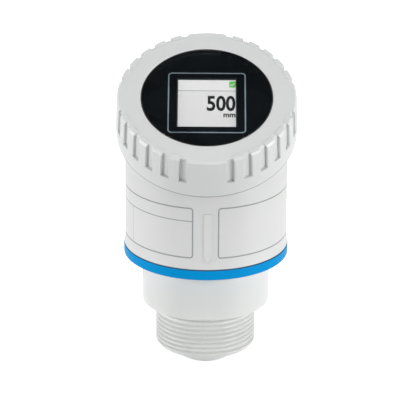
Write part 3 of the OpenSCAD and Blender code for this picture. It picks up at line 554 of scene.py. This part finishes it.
def plasticMaterial(name, colour, sheen=0.4, sheenSpread=0.08, cloud=0.03, grainScale=3500.0,
                    grainDepth=0.004 * mm, roundness=0.0, wear=0.25, dirt=None, grime=0.12, specular=0.5,
                    coat=0.0, coatRoughness=0.12):
    # also gives back the skin's colour and height, for prints and stains on top
    material, tree, shader = startMaterial(name)
    grain = useGroup(tree, mouldedGrain, Colour=colour, Cloud=cloud, Sheen=sheen, SheenSpread=sheenSpread,
                     GrainScale=grainScale)
    # painted highlight on the edges and painted shade in the corners, with some wear and dirt
    edgeLitShadedWorn = useGroup(tree, edgeHighlightAndWear, Colour=grain["Colour"], Rubbed=shade(colour, 1.15, 0.02),
                    Dirt=dirt or shade(colour, 0.55), Wear=wear, Grime=grime)
    tree.links.new(edgeLitShadedWorn["Colour"], shader.inputs["Base Color"])
    tree.links.new(grain["Roughness"], shader.inputs["Roughness"])
    shader.inputs["Specular IOR Level"].default_value = specular
    if coat:
        shader.inputs["Coat Weight"].default_value = coat
        shader.inputs["Coat Roughness"].default_value = coatRoughness
    addBump(tree, shader, grain["Height"], grainDepth, roundness)
    return material, tree, shader, {"colour": edgeLitShadedWorn["Colour"], "height": grain["Height"]}


def metalMaterial(name, colour, sheen=0.3, pitch=0.2 * mm, marksDepth=0.003 * mm, stain=0.12, roundness=0.0):
    material, tree, shader = startMaterial(name)
    marks = useGroup(tree, turnedMarks, Pitch=pitch)
    tint = blendColours(tree, ramp(tree, marks["Shade"], 0.3, 0.7), colour, shade(colour, 1 - stain))
    # painted highlight on the edges and painted shade in the hollows, with some wear and dirt
    edgeLitShadedWorn = useGroup(tree, edgeHighlightAndWear, Colour=tint, Rubbed=shade(colour, 1.2, 0.03), Dirt=shade(colour, 0.35),
                    Wear=0.5, Grime=0.3)
    tree.links.new(edgeLitShadedWorn["Colour"], shader.inputs["Base Color"])
    uneven = ramp(tree, marks["Shade"], 0.2, 0.8, sheen * 0.75, sheen * 1.3)
    tree.links.new(uneven, shader.inputs["Roughness"])
    shader.inputs["Metallic"].default_value = 1.0
    addBump(tree, shader, marks["Height"], marksDepth, roundness)
    return material


# the colour of the painted shade in the gaps between parts
paintedGapShade = (0.05, 0.055, 0.06, 1)


def paintGapShade(tree, shader, colour, position, edge, reach, strength):
    # painted shade: a thin dark line where two parts meet, from the edge inwards, in place of the shadow in the
    # gap
    dim = ramp(tree, apart(tree, position, edge), reach, reach * 0.4, soft=True)
    dimmed = blendColours(tree, calc(tree, "MULTIPLY", dim, strength), colour, paintedGapShade)
    tree.links.new(dimmed, shader.inputs["Base Color"])


# materials of this transmitter

housingLooks = {
    "plastic": {"colour": rgb(214, 215, 214), "sheen": 0.42, "cloud": 0.012, "roundness": 0.25 * mm,
                "wear": 0.12},
    # shadedFoot and shadedStrength: painted shade along the housing's foot, in the gap above the ring
    "shadedFoot": 0.3,
    "shadedStrength": 0.35,
}
# the printed label in mm; its side edges and its column line in degrees round the barrel
labelLooks = {
    "line": rgb(138, 142, 144),
    "lineWidth": 0.65,
    "bottom": 35.4,
    "top": 60.2,
    "corner": 1.3,
    "headerLine": 53.7,
    "leftEdge": -9.4,
    "rightEdge": 8.7,
    "farEdge": 108,
    "columnLine": -63,
    "columnStrength": 0.6,
    "radius": 38.6,
    "skinFrom": 38.4,
    "skinFull": 38.5,
    "patchScale": 2500.0,
}


def labelLines(tree, place, at):
    looks = labelLooks
    radius = looks["radius"] * mm
    angle = calc(tree, "ARCTAN2", at["X"], calc(tree, "MULTIPLY", at["Y"], -1.0))
    across = calc(tree, "MULTIPLY", angle, radius)
    frames = []
    for near, far in ((looks["leftEdge"], -looks["farEdge"]), (looks["rightEdge"], looks["farEdge"])):
        near, far = math.radians(near) * radius, math.radians(far) * radius
        frames.append(useGroup(
            tree, printedFrame, Across=across, Along=at["Z"], CentreAcross=(near + far) / 2,
            CentreAlong=(looks["bottom"] + looks["top"]) / 2 * mm, Width=abs(far - near),
            Height=(looks["top"] - looks["bottom"]) * mm, Corner=looks["corner"] * mm,
            Line=looks["lineWidth"] * mm))
    leftFrame, rightFrame = frames
    # a rule under the heading and a thin column line, both inside the left label only
    half = 0.5 * looks["lineWidth"] * mm
    headingAt = looks["headerLine"] * mm
    heading = ramp(tree, apart(tree, at["Z"], headingAt), half, half * 0.4, soft=True)
    columnAt = math.radians(looks["columnLine"]) * radius
    column = ramp(tree, apart(tree, across, columnAt), half * 0.8, half * 0.3, soft=True)
    belowHeading = ramp(tree, at["Z"], headingAt, headingAt - 0.1 * mm)
    column = calc(tree, "MULTIPLY", calc(tree, "MULTIPLY", column, belowHeading), looks["columnStrength"])
    ruled = calc(tree, "MULTIPLY", calc(tree, "MAXIMUM", heading, column), leftFrame["Inside"])
    lines = calc(tree, "MAXIMUM", calc(tree, "MAXIMUM", leftFrame["Line"], rightFrame["Line"]), ruled)
    # only the outer skin is printed, and the ink is a little patchy
    onSkin = ramp(tree, diagonal(tree, at["X"], at["Y"]), looks["skinFrom"] * mm, looks["skinFull"] * mm)
    patchy = ramp(tree, noise(tree, place, looks["patchScale"]), 0.25, 0.6, 0.75, 1.0)
    return calc(tree, "MULTIPLY", calc(tree, "MULTIPLY", lines, onSkin, clamp=True), patchy)


def makeHousingPlastic(name):
    material, tree, shader, skin = plasticMaterial(name, **housingLooks["plastic"])
    place = objectPlace(tree)
    at = splitAxes(tree, place)
    inked = blendColours(tree, labelLines(tree, place, at), skin["colour"], labelLooks["line"])
    # painted shade along the housing's foot, in the gap above the ring
    paintGapShade(tree, shader, inked, at["Z"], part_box("housing")[0].z, housingLooks["shadedFoot"] * mm,
               housingLooks["shadedStrength"])
    return material


ringLooks = {
    "plastic": {"colour": rgb(0, 145, 212), "sheen": 0.42, "cloud": 0.02, "roundness": 0.2 * mm,
                "grainDepth": 0.002 * mm, "specular": 0.05, "wear": 0.15},
    # shadedTop and shadedStrength: painted shade along the ring's top edge, in the gap under the housing
    "shadedTop": 0.45,
    "shadedStrength": 0.5,
}


def makeRingPlastic(name):
    material, tree, shader, skin = plasticMaterial(name, **ringLooks["plastic"])
    at = splitAxes(tree, objectPlace(tree))
    # painted shade along the ring's top edge, in the gap under the housing
    paintGapShade(tree, shader, skin["colour"], at["Z"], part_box("accent_ring")[1].z, ringLooks["shadedTop"] * mm,
               ringLooks["shadedStrength"])
    return material


coverLooks = {
    "plastic": {"colour": rgb(212, 213, 213), "sheen": 0.4, "cloud": 0.012, "roundness": 0.25 * mm,
                "wear": 0.12},
    # shadedFoot and shadedStrength: painted shade along the cover's rim, in the seam over the housing
    "shadedFoot": 0.62,
    "shadedStrength": 0.68,
}


def makeCoverPlastic(name):
    material, tree, shader, skin = plasticMaterial(name, **coverLooks["plastic"])
    at = splitAxes(tree, objectPlace(tree, tiltedFrame))
    # painted shade along the cover's rim, in the seam over the housing
    paintGapShade(tree, shader, skin["colour"], at["Z"], coverFoot, coverLooks["shadedFoot"] * mm,
               coverLooks["shadedStrength"])
    return material


maskLooks = {
    "ink": {"colour": rgb(17, 22, 26), "sheen": 0.5, "cloud": 0.1, "grainDepth": 0.001 * mm, "wear": 0.0,
            "grime": 0.0, "specular": 0.02},
    "line": rgb(148, 164, 175),
    "frameWidth": 35.85,
    "frameHeight": 37.6,
    "lineWidth": 0.6,
    "corner": 1.6,
    "shift": -2.2,
}


def makeMaskBlack(name):
    looks = maskLooks
    material, tree, shader, skin = plasticMaterial(name, **looks["ink"])
    at = splitAxes(tree, objectPlace(tree, tiltedFrame))
    framed = useGroup(tree, printedFrame, Across=at["X"], Along=at["Y"], CentreAcross=0.0,
                      CentreAlong=looks["shift"] * mm, Width=looks["frameWidth"] * mm,
                      Height=looks["frameHeight"] * mm, Corner=looks["corner"] * mm,
                      Line=looks["lineWidth"] * mm)
    printed = blendColours(tree, framed["Line"], skin["colour"], looks["line"])
    tree.links.new(printed, shader.inputs["Base Color"])
    return material


windowLooks = {"tint": (0.95, 0.95, 0.95, 1), "bending": 1.5, "specular": 0.12, "smearScale": 90.0,
               "clean": 0.01, "smeared": 0.02}


def makeWindowClear(name):
    looks = windowLooks
    material, tree, shader = startMaterial(name)
    shader.inputs["Base Color"].default_value = looks["tint"]
    shader.inputs["Transmission Weight"].default_value = 1.0
    shader.inputs["IOR"].default_value = looks["bending"]
    shader.inputs["Specular IOR Level"].default_value = looks["specular"]
    smear = noise(tree, objectPlace(tree), looks["smearScale"], 4.0, 0.6)
    tree.links.new(ramp(tree, smear, 0.5, 0.9, looks["clean"], looks["smeared"]), shader.inputs["Roughness"])
    # lamps and the room's light pass straight through, as they do through thin clear plastic
    path = put(tree, "LightPath").outputs
    passing = calc(tree, "MAXIMUM", path["Is Shadow Ray"], path["Is Diffuse Ray"])
    through = put(tree, "BsdfTransparent")
    through.inputs["Color"].default_value = looks["tint"]
    mixed = put(tree, "MixShader")
    tree.links.new(passing, mixed.inputs[0])
    tree.links.new(shader.outputs[0], mixed.inputs[1])
    tree.links.new(through.outputs[0], mixed.inputs[2])
    tree.links.new(mixed.outputs[0], tree.nodes["Material Output"].inputs["Surface"])
    return material


displayLooks = {
    "paper": rgb(224, 224, 224),
    "heading": rgb(230, 230, 230),
    "headingHeight": 7.5,
    "rule": rgb(140, 143, 145),
    "ruleWidth": 0.48,
    "dots": (0.2, 0.2, 0.22, 1),
    "dotPitch": 0.12,
    "dotStrength": 0.02,
    "glow": 0.25,
    "hazeScale": 4000.0,
    "footShade": 0.95,
    "rim": (0.35, 0.36, 0.37, 1),
    "ink": rgb(9, 10, 12),
    "green": rgb(108, 226, 102),
    "white": rgb(240, 244, 240),
    "speck": (0.03, 0.03, 0.032, 1),
    "speckScale": 9000.0,
    "speckStrength": 0.12,
}


def makeDisplayPanel(name):
    looks = displayLooks
    material, tree, shader = startMaterial(name)
    place = objectPlace(tree, tiltedFrame)
    at = splitAxes(tree, place)
    headingAt = screen["top"] - looks["headingHeight"] * mm
    band = ramp(tree, at["Y"], headingAt - 0.02 * mm, headingAt + 0.02 * mm)
    paper = blendColours(tree, band, looks["paper"], looks["heading"])
    # the fine dots of the screen
    perMetre = math.tau / (looks["dotPitch"] * mm)
    waves = [calc(tree, "SINE", calc(tree, "MULTIPLY", at[axis], perMetre)) for axis in ("X", "Y")]
    strength = looks["dotStrength"]
    dotted = calc(tree, "MULTIPLY_ADD", calc(tree, "MULTIPLY", *waves), strength, strength)
    paper = blendColours(tree, dotted, paper, looks["dots"])
    half = looks["ruleWidth"] / 2 * mm
    rule = ramp(tree, apart(tree, at["Y"], headingAt), half, half / 2, soft=True)
    paper = blendColours(tree, rule, paper, looks["rule"])
    # the light behind the screen is a little weaker towards its foot
    backlight = ramp(tree, at["Y"], screen["bottom"], screen["top"], looks["footShade"], 1.0)
    paper = blendColours(tree, calc(tree, "SUBTRACT", 1.0, backlight), paper, (0, 0, 0, 1))
    onFront = ramp(tree, at["Z"], screen["face"] - 0.06 * mm, screen["face"] - 0.04 * mm)
    tree.links.new(blendColours(tree, onFront, looks["rim"], paper), shader.inputs["Base Color"])
    tree.links.new(blendColours(tree, onFront, (0, 0, 0, 1), paper), shader.inputs["Emission Color"])
    shader.inputs["Emission Strength"].default_value = looks["glow"]
    haze = noise(tree, place, looks["hazeScale"], 1.0)
    tree.links.new(ramp(tree, haze, 0.3, 0.7, 0.3, 0.42), shader.inputs["Roughness"])
    return material


def makeDisplayInk(name, colour):
    material, tree, shader = startMaterial(name)
    grain = noise(tree, objectPlace(tree), displayLooks["speckScale"], 1.0)
    speck = ramp(tree, grain, 0.3, 0.7, 0.0, displayLooks["speckStrength"])
    tree.links.new(blendColours(tree, speck, colour, displayLooks["speck"]), shader.inputs["Base Color"])
    shader.inputs["Roughness"].default_value = 0.5
    shader.inputs["Specular IOR Level"].default_value = 0.2
    return material


boardLooks = {
    "mask": rgb(14, 74, 38),
    "track": rgb(30, 104, 56),
    "pad": rgb(176, 176, 170),
    "edge": rgb(170, 160, 110),
    "trackScale": 220.0,
    "padScale": 420.0,
    "gapScale": 260.0,
    "sheenScale": 600.0,
    "relief": 0.03 * mm,
}


def makeBoardGreen(name):
    # solder mask over copper: straight tracks show as slightly raised and lighter lines, with round pads
    looks = boardLooks
    material, tree, shader = startMaterial(name)
    place = objectPlace(tree)
    cells = put(tree, "TexVoronoi", feature="F1", distance="MANHATTAN")
    tree.links.new(place, cells.inputs["Vector"])
    cells.inputs["Scale"].default_value = looks["padScale"]
    cells.inputs["Randomness"].default_value = 0.85
    tracks = put(tree, "TexBrick")
    tree.links.new(place, tracks.inputs["Vector"])
    tracks.inputs["Scale"].default_value = looks["trackScale"]
    tracks.inputs["Mortar Size"].default_value = 0.05
    tracks.inputs["Mortar Smooth"].default_value = 0.1
    copper = tracks.outputs["Fac"]
    chosen = ramp(tree, noise(tree, place, looks["gapScale"], 1.0), 0.5, 0.56)
    pads = calc(tree, "MULTIPLY", ramp(tree, cells.outputs["Distance"], 0.22, 0.18), chosen)
    tinned = blendColours(tree, pads, blendColours(tree, copper, looks["mask"], looks["track"]), looks["pad"])
    bend = put(tree, "NewGeometry").outputs["Pointiness"]
    edge = calc(tree, "MULTIPLY", ramp(tree, calc(tree, "ABSOLUTE", bend), 0.52, 0.6), 0.3)
    tree.links.new(blendColours(tree, edge, tinned, looks["edge"]), shader.inputs["Base Color"])
    tree.links.new(pads, shader.inputs["Metallic"])
    uneven = ramp(tree, noise(tree, place, looks["sheenScale"]), 0.3, 0.7, 0.28, 0.42)
    tree.links.new(uneven, shader.inputs["Roughness"])
    addBump(tree, shader, calc(tree, "ADD", copper, pads), looks["relief"])
    return material


wireLooks = {
    "plastic": {"colour": rgb(60, 60, 62), "sheen": 0.4, "grainDepth": 0.002 * mm},
    "lowLeft": rgb(28, 28, 30),
    "lowRight": rgb(18, 70, 150),
    "highLeft": rgb(92, 54, 30),
    "highRight": rgb(225, 225, 220),
    "dust": rgb(70, 70, 70),
}


def makeWireJacket(name):
    # the four leads take the usual sensor colours by the quarter they lie in
    looks = wireLooks
    material, tree, shader, skin = plasticMaterial(name, **looks["plastic"])
    at = splitAxes(tree, objectPlace(tree))
    right = calc(tree, "GREATER_THAN", at["X"], plugCentre.x)
    upper = calc(tree, "GREATER_THAN", at["Z"], plugCentre.z)
    lowPair = blendColours(tree, right, looks["lowLeft"], looks["lowRight"])
    highPair = blendColours(tree, right, looks["highLeft"], looks["highRight"])
    both = blendColours(tree, upper, lowPair, highPair)
    dusty = ramp(tree, skin["height"], 0.3, 0.7, 0.0, 0.15)
    tree.links.new(blendColours(tree, dusty, both, looks["dust"]), shader.inputs["Base Color"])
    return material


# plastics and metals that are the same all over, by the slot that they fill
plainPlastics = {
    "process_plastic": {"colour": rgb(224, 225, 223), "sheen": 0.36, "cloud": 0.012, "roundness": 0.2 * mm,
                        "grainDepth": 0.002 * mm},
    "frame_black": {"colour": rgb(30, 31, 33), "sheen": 0.45, "cloud": 0.12, "roundness": 0.15 * mm},
    "retainer_plastic": {"colour": rgb(58, 60, 62), "sheen": 0.5, "cloud": 0.1},
    "carrier_plastic": {"colour": rgb(66, 69, 72), "sheen": 0.52, "cloud": 0.1, "roundness": 0.2 * mm},
    "seal_rubber": {"colour": rgb(30, 30, 31), "sheen": 0.62, "sheenSpread": 0.2, "cloud": 0.3,
                    "grainScale": 1500.0, "grainDepth": 0.01 * mm, "dirt": rgb(70, 70, 68), "grime": 0.4},
    "insert_plastic": {"colour": rgb(34, 35, 37), "sheen": 0.5, "cloud": 0.1},
    "header_plastic": {"colour": rgb(58, 118, 66), "sheen": 0.45, "cloud": 0.08, "roundness": 0.15 * mm},
    "socket_plastic": {"colour": rgb(208, 200, 176), "sheen": 0.5, "cloud": 0.06},
    "chip_black": {"colour": rgb(32, 33, 35), "sheen": 0.6, "sheenSpread": 0.15, "cloud": 0.15,
                   "grainScale": 6000.0, "grainDepth": 0.008 * mm},
    "ferrite": {"colour": rgb(52, 50, 52), "sheen": 0.7, "sheenSpread": 0.25, "cloud": 0.3,
                "grainScale": 2500.0, "grainDepth": 0.03 * mm, "wear": 0.6},
    "ribbon_amber": {"colour": rgb(190, 118, 36), "sheen": 0.28, "cloud": 0.12, "coat": 0.4},
}
plainMetals = {
    "screw_steel": {"colour": (0.62, 0.62, 0.63, 1), "sheen": 0.3, "pitch": 0.25 * mm},
    "can_steel": {"colour": (0.7, 0.7, 0.69, 1), "sheen": 0.38, "pitch": 1.5 * mm, "marksDepth": 0.004 * mm},
    "spacer_metal": {"colour": (0.66, 0.62, 0.54, 1), "sheen": 0.26, "pitch": 0.2 * mm},
    "plug_metal": {"colour": (0.64, 0.63, 0.6, 1), "sheen": 0.27, "pitch": 0.22 * mm, "roundness": 0.15 * mm},
    "pin_gold": {"colour": (0.86, 0.62, 0.24, 1), "sheen": 0.2, "pitch": 0.15 * mm},
    "horn_metal": {"colour": (0.74, 0.74, 0.75, 1), "sheen": 0.34, "pitch": 0.3 * mm,
                   "marksDepth": 0.006 * mm},
    "capacitor_can": {"colour": (0.72, 0.73, 0.75, 1), "sheen": 0.36, "pitch": 0.4 * mm},
}
ownMakers = {
    "housing_plastic": makeHousingPlastic,
    "cover_plastic": makeCoverPlastic,
    "ring_plastic": makeRingPlastic,
    "window_clear": makeWindowClear,
    "mask_black": makeMaskBlack,
    "wire_jacket": makeWireJacket,
    "board_green": makeBoardGreen,
    "display_panel": makeDisplayPanel,
}


def materialName(slot):
    first, *others = slot.split("_")
    return first + "".join(word.capitalize() for word in others)


def makeMaterials():
    made = {slot: maker(materialName(slot)) for slot, maker in ownMakers.items()}
    for slot, looks in plainPlastics.items():
        made[slot] = plasticMaterial(materialName(slot), **looks)[0]
    for slot, looks in plainMetals.items():
        made[slot] = metalMaterial(materialName(slot), **looks)
    return made


# the pieces

def paintNode(node, material):
    piece = nodes[node]
    if piece.material_slots:
        for place in piece.material_slots:
            place.material = material
    else:
        piece.data.materials.append(material)


def cadCopy(node, material, degrees=30):
    # a merged copy of a CAD node, which then stands for it and can be shaped further
    selectOnly(nodes[node])
    bpy.ops.object.duplicate()
    piece = bpy.context.object
    piece.parent = None
    del piece["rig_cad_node"]
    bpy.ops.mesh.customdata_custom_splitnormals_clear()
    mergePoints(piece, 0.002 * mm)
    finish(piece, node + "_skin", node, material)
    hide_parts(node)
    smooth(piece, degrees)
    return piece


# how far from its right place a point of the band may lie, in mm
bandMargins = {"along": 0.01, "inside": 0.08, "outside": 0.02}


def cutGroove(piece, frameMatrix, thread):
    # pares the threaded band down from its crest radius to the thread's core
    low, high, slope = (thread[key] * mm for key in ("bandLow", "bandHigh", "slope"))
    toFrame = frameMatrix.inverted()
    axis = (frameMatrix.to_3x3() @ Vector((0, 0, 1))).normalized()
    selectOnly(piece)
    for height in (low, low + slope, high - slope, high):
        cutAcross(frameMatrix @ Vector((0, 0, height)), axis)

    margin = bandMargins["along"] * mm
    innermost = thread["blank"] - bandMargins["inside"]
    outermost = thread["blank"] + bandMargins["outside"]

    def inBand(point):
        local = toFrame @ point
        radius = math.hypot(local.x, local.y) / mm
        return low + slope - margin < local.z < high - slope + margin and innermost < radius < outermost

    selectWhere(piece, inBand)
    share = thread["core"] / thread["blank"]
    # the band shrinks towards its own axis: scaled in the frame's x and y only
    bpy.ops.transform.resize(value=(share, share, 1), orient_type="GLOBAL",
                             orient_matrix=frameMatrix.to_3x3().transposed(),
                             orient_matrix_type="GLOBAL",
                             center_override=frameMatrix.to_translation())
    bpy.ops.object.mode_set(mode="OBJECT")
    smooth(piece)


def threadSection(thread):
    # from inside the core out to a rounded crest and back, as radius and height
    core, crest = thread["core"] * mm, thread["crest"] * mm
    base, top = thread["halfBase"] * mm, thread["halfCrest"] * mm
    rise = crest - core
    near = [(core - 0.2 * mm, base * 1.04),
            (core, base),
            (core + rise * 0.55, base * 0.52 + top * 0.45),
            (core + rise * 0.86, top * 1.25),
            (core + rise * 0.97, top * 0.7),
            (crest, 0)]
    far = [(radius, -height) for radius, height in reversed(near[:-1])]
    return near + far


def windRidge(thread):
    # the outline of one ridge is laid out as a ring of points and wound up the z axis
    section = threadSection(thread)
    deselectAll()
    bpy.ops.mesh.primitive_circle_add(vertices=len(section), radius=mm, fill_type="NOTHING",
                                      location=(0, 0, 0))
    ridge = bpy.context.object
    for vertex, (radius, height) in zip(ridge.data.vertices, section):
        vertex.co = (radius, 0, thread["start"] * mm + height)
    bpy.ops.object.modifier_add(type="SCREW")
    winding = ridge.modifiers[0]
    winding.axis = "Z"
    winding.angle = math.tau
    winding.screw_offset = thread["pitch"] * mm
    winding.iterations = thread["turns"]
    winding.steps = thread["stepsPerTurn"]
    winding.render_steps = thread["stepsPerTurn"]
    selectOnly(ridge)
    bpy.ops.object.modifier_apply(modifier=winding.name)
    # both ends run out into the core, from a first ring that stands a third of a step high
    core = min(radius for radius, height in section)
    rings = len(ridge.data.vertices) // len(section)
    for vertex in ridge.data.vertices:
        ring = vertex.index // len(section)
        step = min(ring, rings - 1 - ring) + 0.3
        share = min(1, step / thread["fadeSteps"])
        radius = math.hypot(vertex.co.x, vertex.co.y)
        shrink = (core + (radius - core) * share) / radius
        vertex.co.x *= shrink
        vertex.co.y *= shrink
    selectOnly(ridge)
    bpy.ops.object.mode_set(mode="EDIT")
    bpy.ops.mesh.select_mode(type="EDGE")
    bpy.ops.mesh.select_all(action="DESELECT")
    bpy.ops.mesh.select_non_manifold()
    bpy.ops.mesh.fill_holes(sides=0)
    bpy.ops.object.mode_set(mode="OBJECT")
    mergePoints(ridge, 0.001 * mm, turnOutwards=True)
    return ridge


def addThread(piece, node, ridgeName, frameMatrix, thread, material):
    cutGroove(piece, frameMatrix, thread)
    ridge = windRidge(thread)
    settle(ridge, frameMatrix)
    finish(ridge, ridgeName, node, material)
    smooth(ridge, 40)


# threads in mm along their own axis; blank is the radius before the thread is cut
processThread = {"blank": 23.9015, "core": 22.42, "crest": 23.895, "halfBase": 1.04, "halfCrest": 0.34,
                 "pitch": 2.309, "turns": 7, "start": -20.42, "bandLow": -20.6, "bandHigh": -4.85,
                 "slope": 0.75, "fadeSteps": 9, "stepsPerTurn": 96}


def buildProcessBody(material):
    piece = cadCopy("process_body", material)
    addThread(piece, "process_body", "process_thread", Matrix.Identity(4), processThread, material)


# mm round the barrel from its front, heights, and the radii of the wall and the rib's crest
markerRib = {"left": -1.06, "right": 3.64, "newRight": 2.8, "calmFrom": 6.8, "bottom": 32.0, "top": 58.0,
             "wall": 38.55, "crest": 39.05, "newCrest": 38.93, "margin": 0.1}


def shapeRib(piece):
    # the rib is drawn in on its right side and made a little flatter; the wall keeps its round shape
    rib = markerRib
    left, right, newRight, calmFrom = rib["left"], rib["right"], rib["newRight"], rib["calmFrom"]
    for vertex in piece.data.vertices:
        radius = math.hypot(vertex.co.x, vertex.co.y) / mm
        along = math.atan2(vertex.co.x, -vertex.co.y) * radius
        if vertex.co.y > 0 or radius < rib["wall"] or not rib["bottom"] < vertex.co.z / mm < rib["top"]:
            continue
        if not left - rib["margin"] < along < calmFrom:
            continue
        if along < right + rib["margin"]:
            along = left + (along - left) * (newRight - left) / (right - left)
        else:
            along = calmFrom - (calmFrom - along) * (calmFrom - newRight) / (calmFrom - right)
        angle = along / radius
        if radius > rib["crest"]:
            radius = rib["newCrest"]
        vertex.co.x = math.sin(angle) * radius * mm
        vertex.co.y = -math.cos(angle) * radius * mm


neckThread = {"blank": 37.8, "core": 36.95, "crest": 37.77, "halfBase": 0.95, "halfCrest": 0.4,
              "pitch": 2.5, "turns": 2, "start": 15.2, "bandLow": 14.2, "bandHigh": 21.2,
              "slope": 0.5, "fadeSteps": 6, "stepsPerTurn": 96}


def buildHousing(material):
    piece = cadCopy("housing", material)
    shapeRib(piece)
    addThread(piece, "housing", "neck_thread", tiltedFrame, neckThread, material)


plugThread = {"blank": 6.0, "core": 5.42, "crest": 5.99, "halfBase": 0.46, "halfCrest": 0.12,
              "pitch": 1.0, "turns": 8, "start": -9.4, "bandLow": -9.8, "bandHigh": -0.75,
              "slope": 0.35, "fadeSteps": 6, "stepsPerTurn": 64}


def buildPlug(material):
    piece = cadCopy("plug_shell", material)
    addThread(piece, "plug_shell", "plug_thread_ridge", plugFrame, plugThread, material)


# places in mm from the top right corner of the screen
readout = {
    "lift": 0.02,
    "value": {"words": "500", "width": 13.4, "height": 9.75, "belowTop": 20.35, "margin": 0.75,
              "heavy": 0.027},
    "unit": {"words": "mm", "width": 5.6, "height": 2.3, "belowTop": 24.25, "margin": 0.8,
             "heavy": 0.034},
    "tile": {"width": 3.2, "height": 3.9, "belowTop": 1.4, "margin": 0.45, "corner": 0.45},
    "tick": {"stroke": 0.42, "long": 1.55, "short": 0.75, "turnDegrees": 48, "aside": -0.45, "lower": -0.75},
}


def addWords(line, name, material):
    deselectAll()
    bpy.ops.object.text_add(location=(0, 0, 0))
    text = bpy.context.object
    text.data.body = line["words"]
    text.data.size = 1
    text.data.offset = line["heavy"]
    text.data.resolution_u = 8
    bpy.ops.object.convert(target="MESH")
    piece = bpy.context.object
    low = [min(vertex.co[i] for vertex in piece.data.vertices) for i in (0, 1)]
    high = [max(vertex.co[i] for vertex in piece.data.vertices) for i in (0, 1)]
    wide = line["width"] * mm / (high[0] - low[0])
    tall = line["height"] * mm / (high[1] - low[1])
    right = screen["right"] - line["margin"] * mm
    bottom = screen["top"] - line["belowTop"] * mm
    piece.scale = (wide, tall, 1)
    piece.location = (right - high[0] * wide, bottom - low[1] * tall, screen["face"] + readout["lift"] * mm)
    settle(piece)
    settle(piece, tiltedFrame)
    finish(piece, name, "display_panel", material)


def addTile(centre, material):
    tile = newSquare()
    tile.scale = (readout["tile"]["width"] * mm, readout["tile"]["height"] * mm, 1)
    tile.location = centre + Vector((0, 0, readout["lift"] * mm))
    settle(tile)
    bpy.ops.object.mode_set(mode="EDIT")
    bpy.ops.mesh.select_all(action="SELECT")
    bpy.ops.mesh.bevel(offset=readout["tile"]["corner"] * mm, segments=4, affect="VERTICES")
    bpy.ops.object.mode_set(mode="OBJECT")
    settle(tile, tiltedFrame)
    finish(tile, "status_tile", "display_panel", material)


def addTick(centre, material):
    # a small square is drawn out to the long stroke, and its inner end to the short one
    looks = readout["tick"]
    tick = newSquare()
    tick.scale = (looks["stroke"] * mm, looks["stroke"] * mm, 1)
    settle(tick)
    selectWhere(tick, lambda point: point.x > 0)
    bpy.ops.mesh.extrude_region_move(TRANSFORM_OT_translate={"value": (looks["long"] * mm, 0, 0)})
    selectWhere(tick, lambda point: point.y > 0 and point.x < looks["stroke"] * mm)
    bpy.ops.mesh.extrude_region_move(TRANSFORM_OT_translate={"value": (0, looks["short"] * mm, 0)})
    bpy.ops.object.mode_set(mode="OBJECT")
    corner = centre + Vector((looks["aside"] * mm, looks["lower"] * mm, 2 * readout["lift"] * mm))
    settle(tick, Matrix.Translation(corner) @ Matrix.Rotation(math.radians(looks["turnDegrees"]), 4, "Z"))
    settle(tick, tiltedFrame)
    finish(tick, "status_tick", "display_panel", material)


def buildReadout():
    ink = makeDisplayInk("displayInk", displayLooks["ink"])
    addWords(readout["value"], "readout_value", ink)
    addWords(readout["unit"], "readout_unit", ink)
    tile = readout["tile"]
    tileCentre = Vector((screen["right"] - (tile["margin"] + tile["width"] / 2) * mm,
                         screen["top"] - (tile["belowTop"] + tile["height"] / 2) * mm, screen["face"]))
    addTile(tileCentre, makeDisplayInk("statusGreen", displayLooks["green"]))
    addTick(tileCentre, makeDisplayInk("statusWhite", displayLooks["white"]))


def buildPieces():
    made = makeMaterials()
    print("materials made:", len(made))
    for node, slot in slotOf.items():
        paintNode(node, made[slot])
    buildProcessBody(made["process_plastic"])
    print("process body and its thread built")
    buildHousing(made["housing_plastic"])
    print("housing and its neck thread built")
    cadCopy("cover", made["cover_plastic"], 25)
    cadCopy("accent_ring", made["ring_plastic"])
    cadCopy("window", made["window_clear"])
    cadCopy("window_mask", made["mask_black"])
    buildPlug(made["plug_metal"])
    print("cover, ring, window and plug built")
    buildReadout()
    print("readout built")


addCamera()
addLamps()
addWorld()
addFloor()
print("camera, lamps and floor set")
buildPieces()
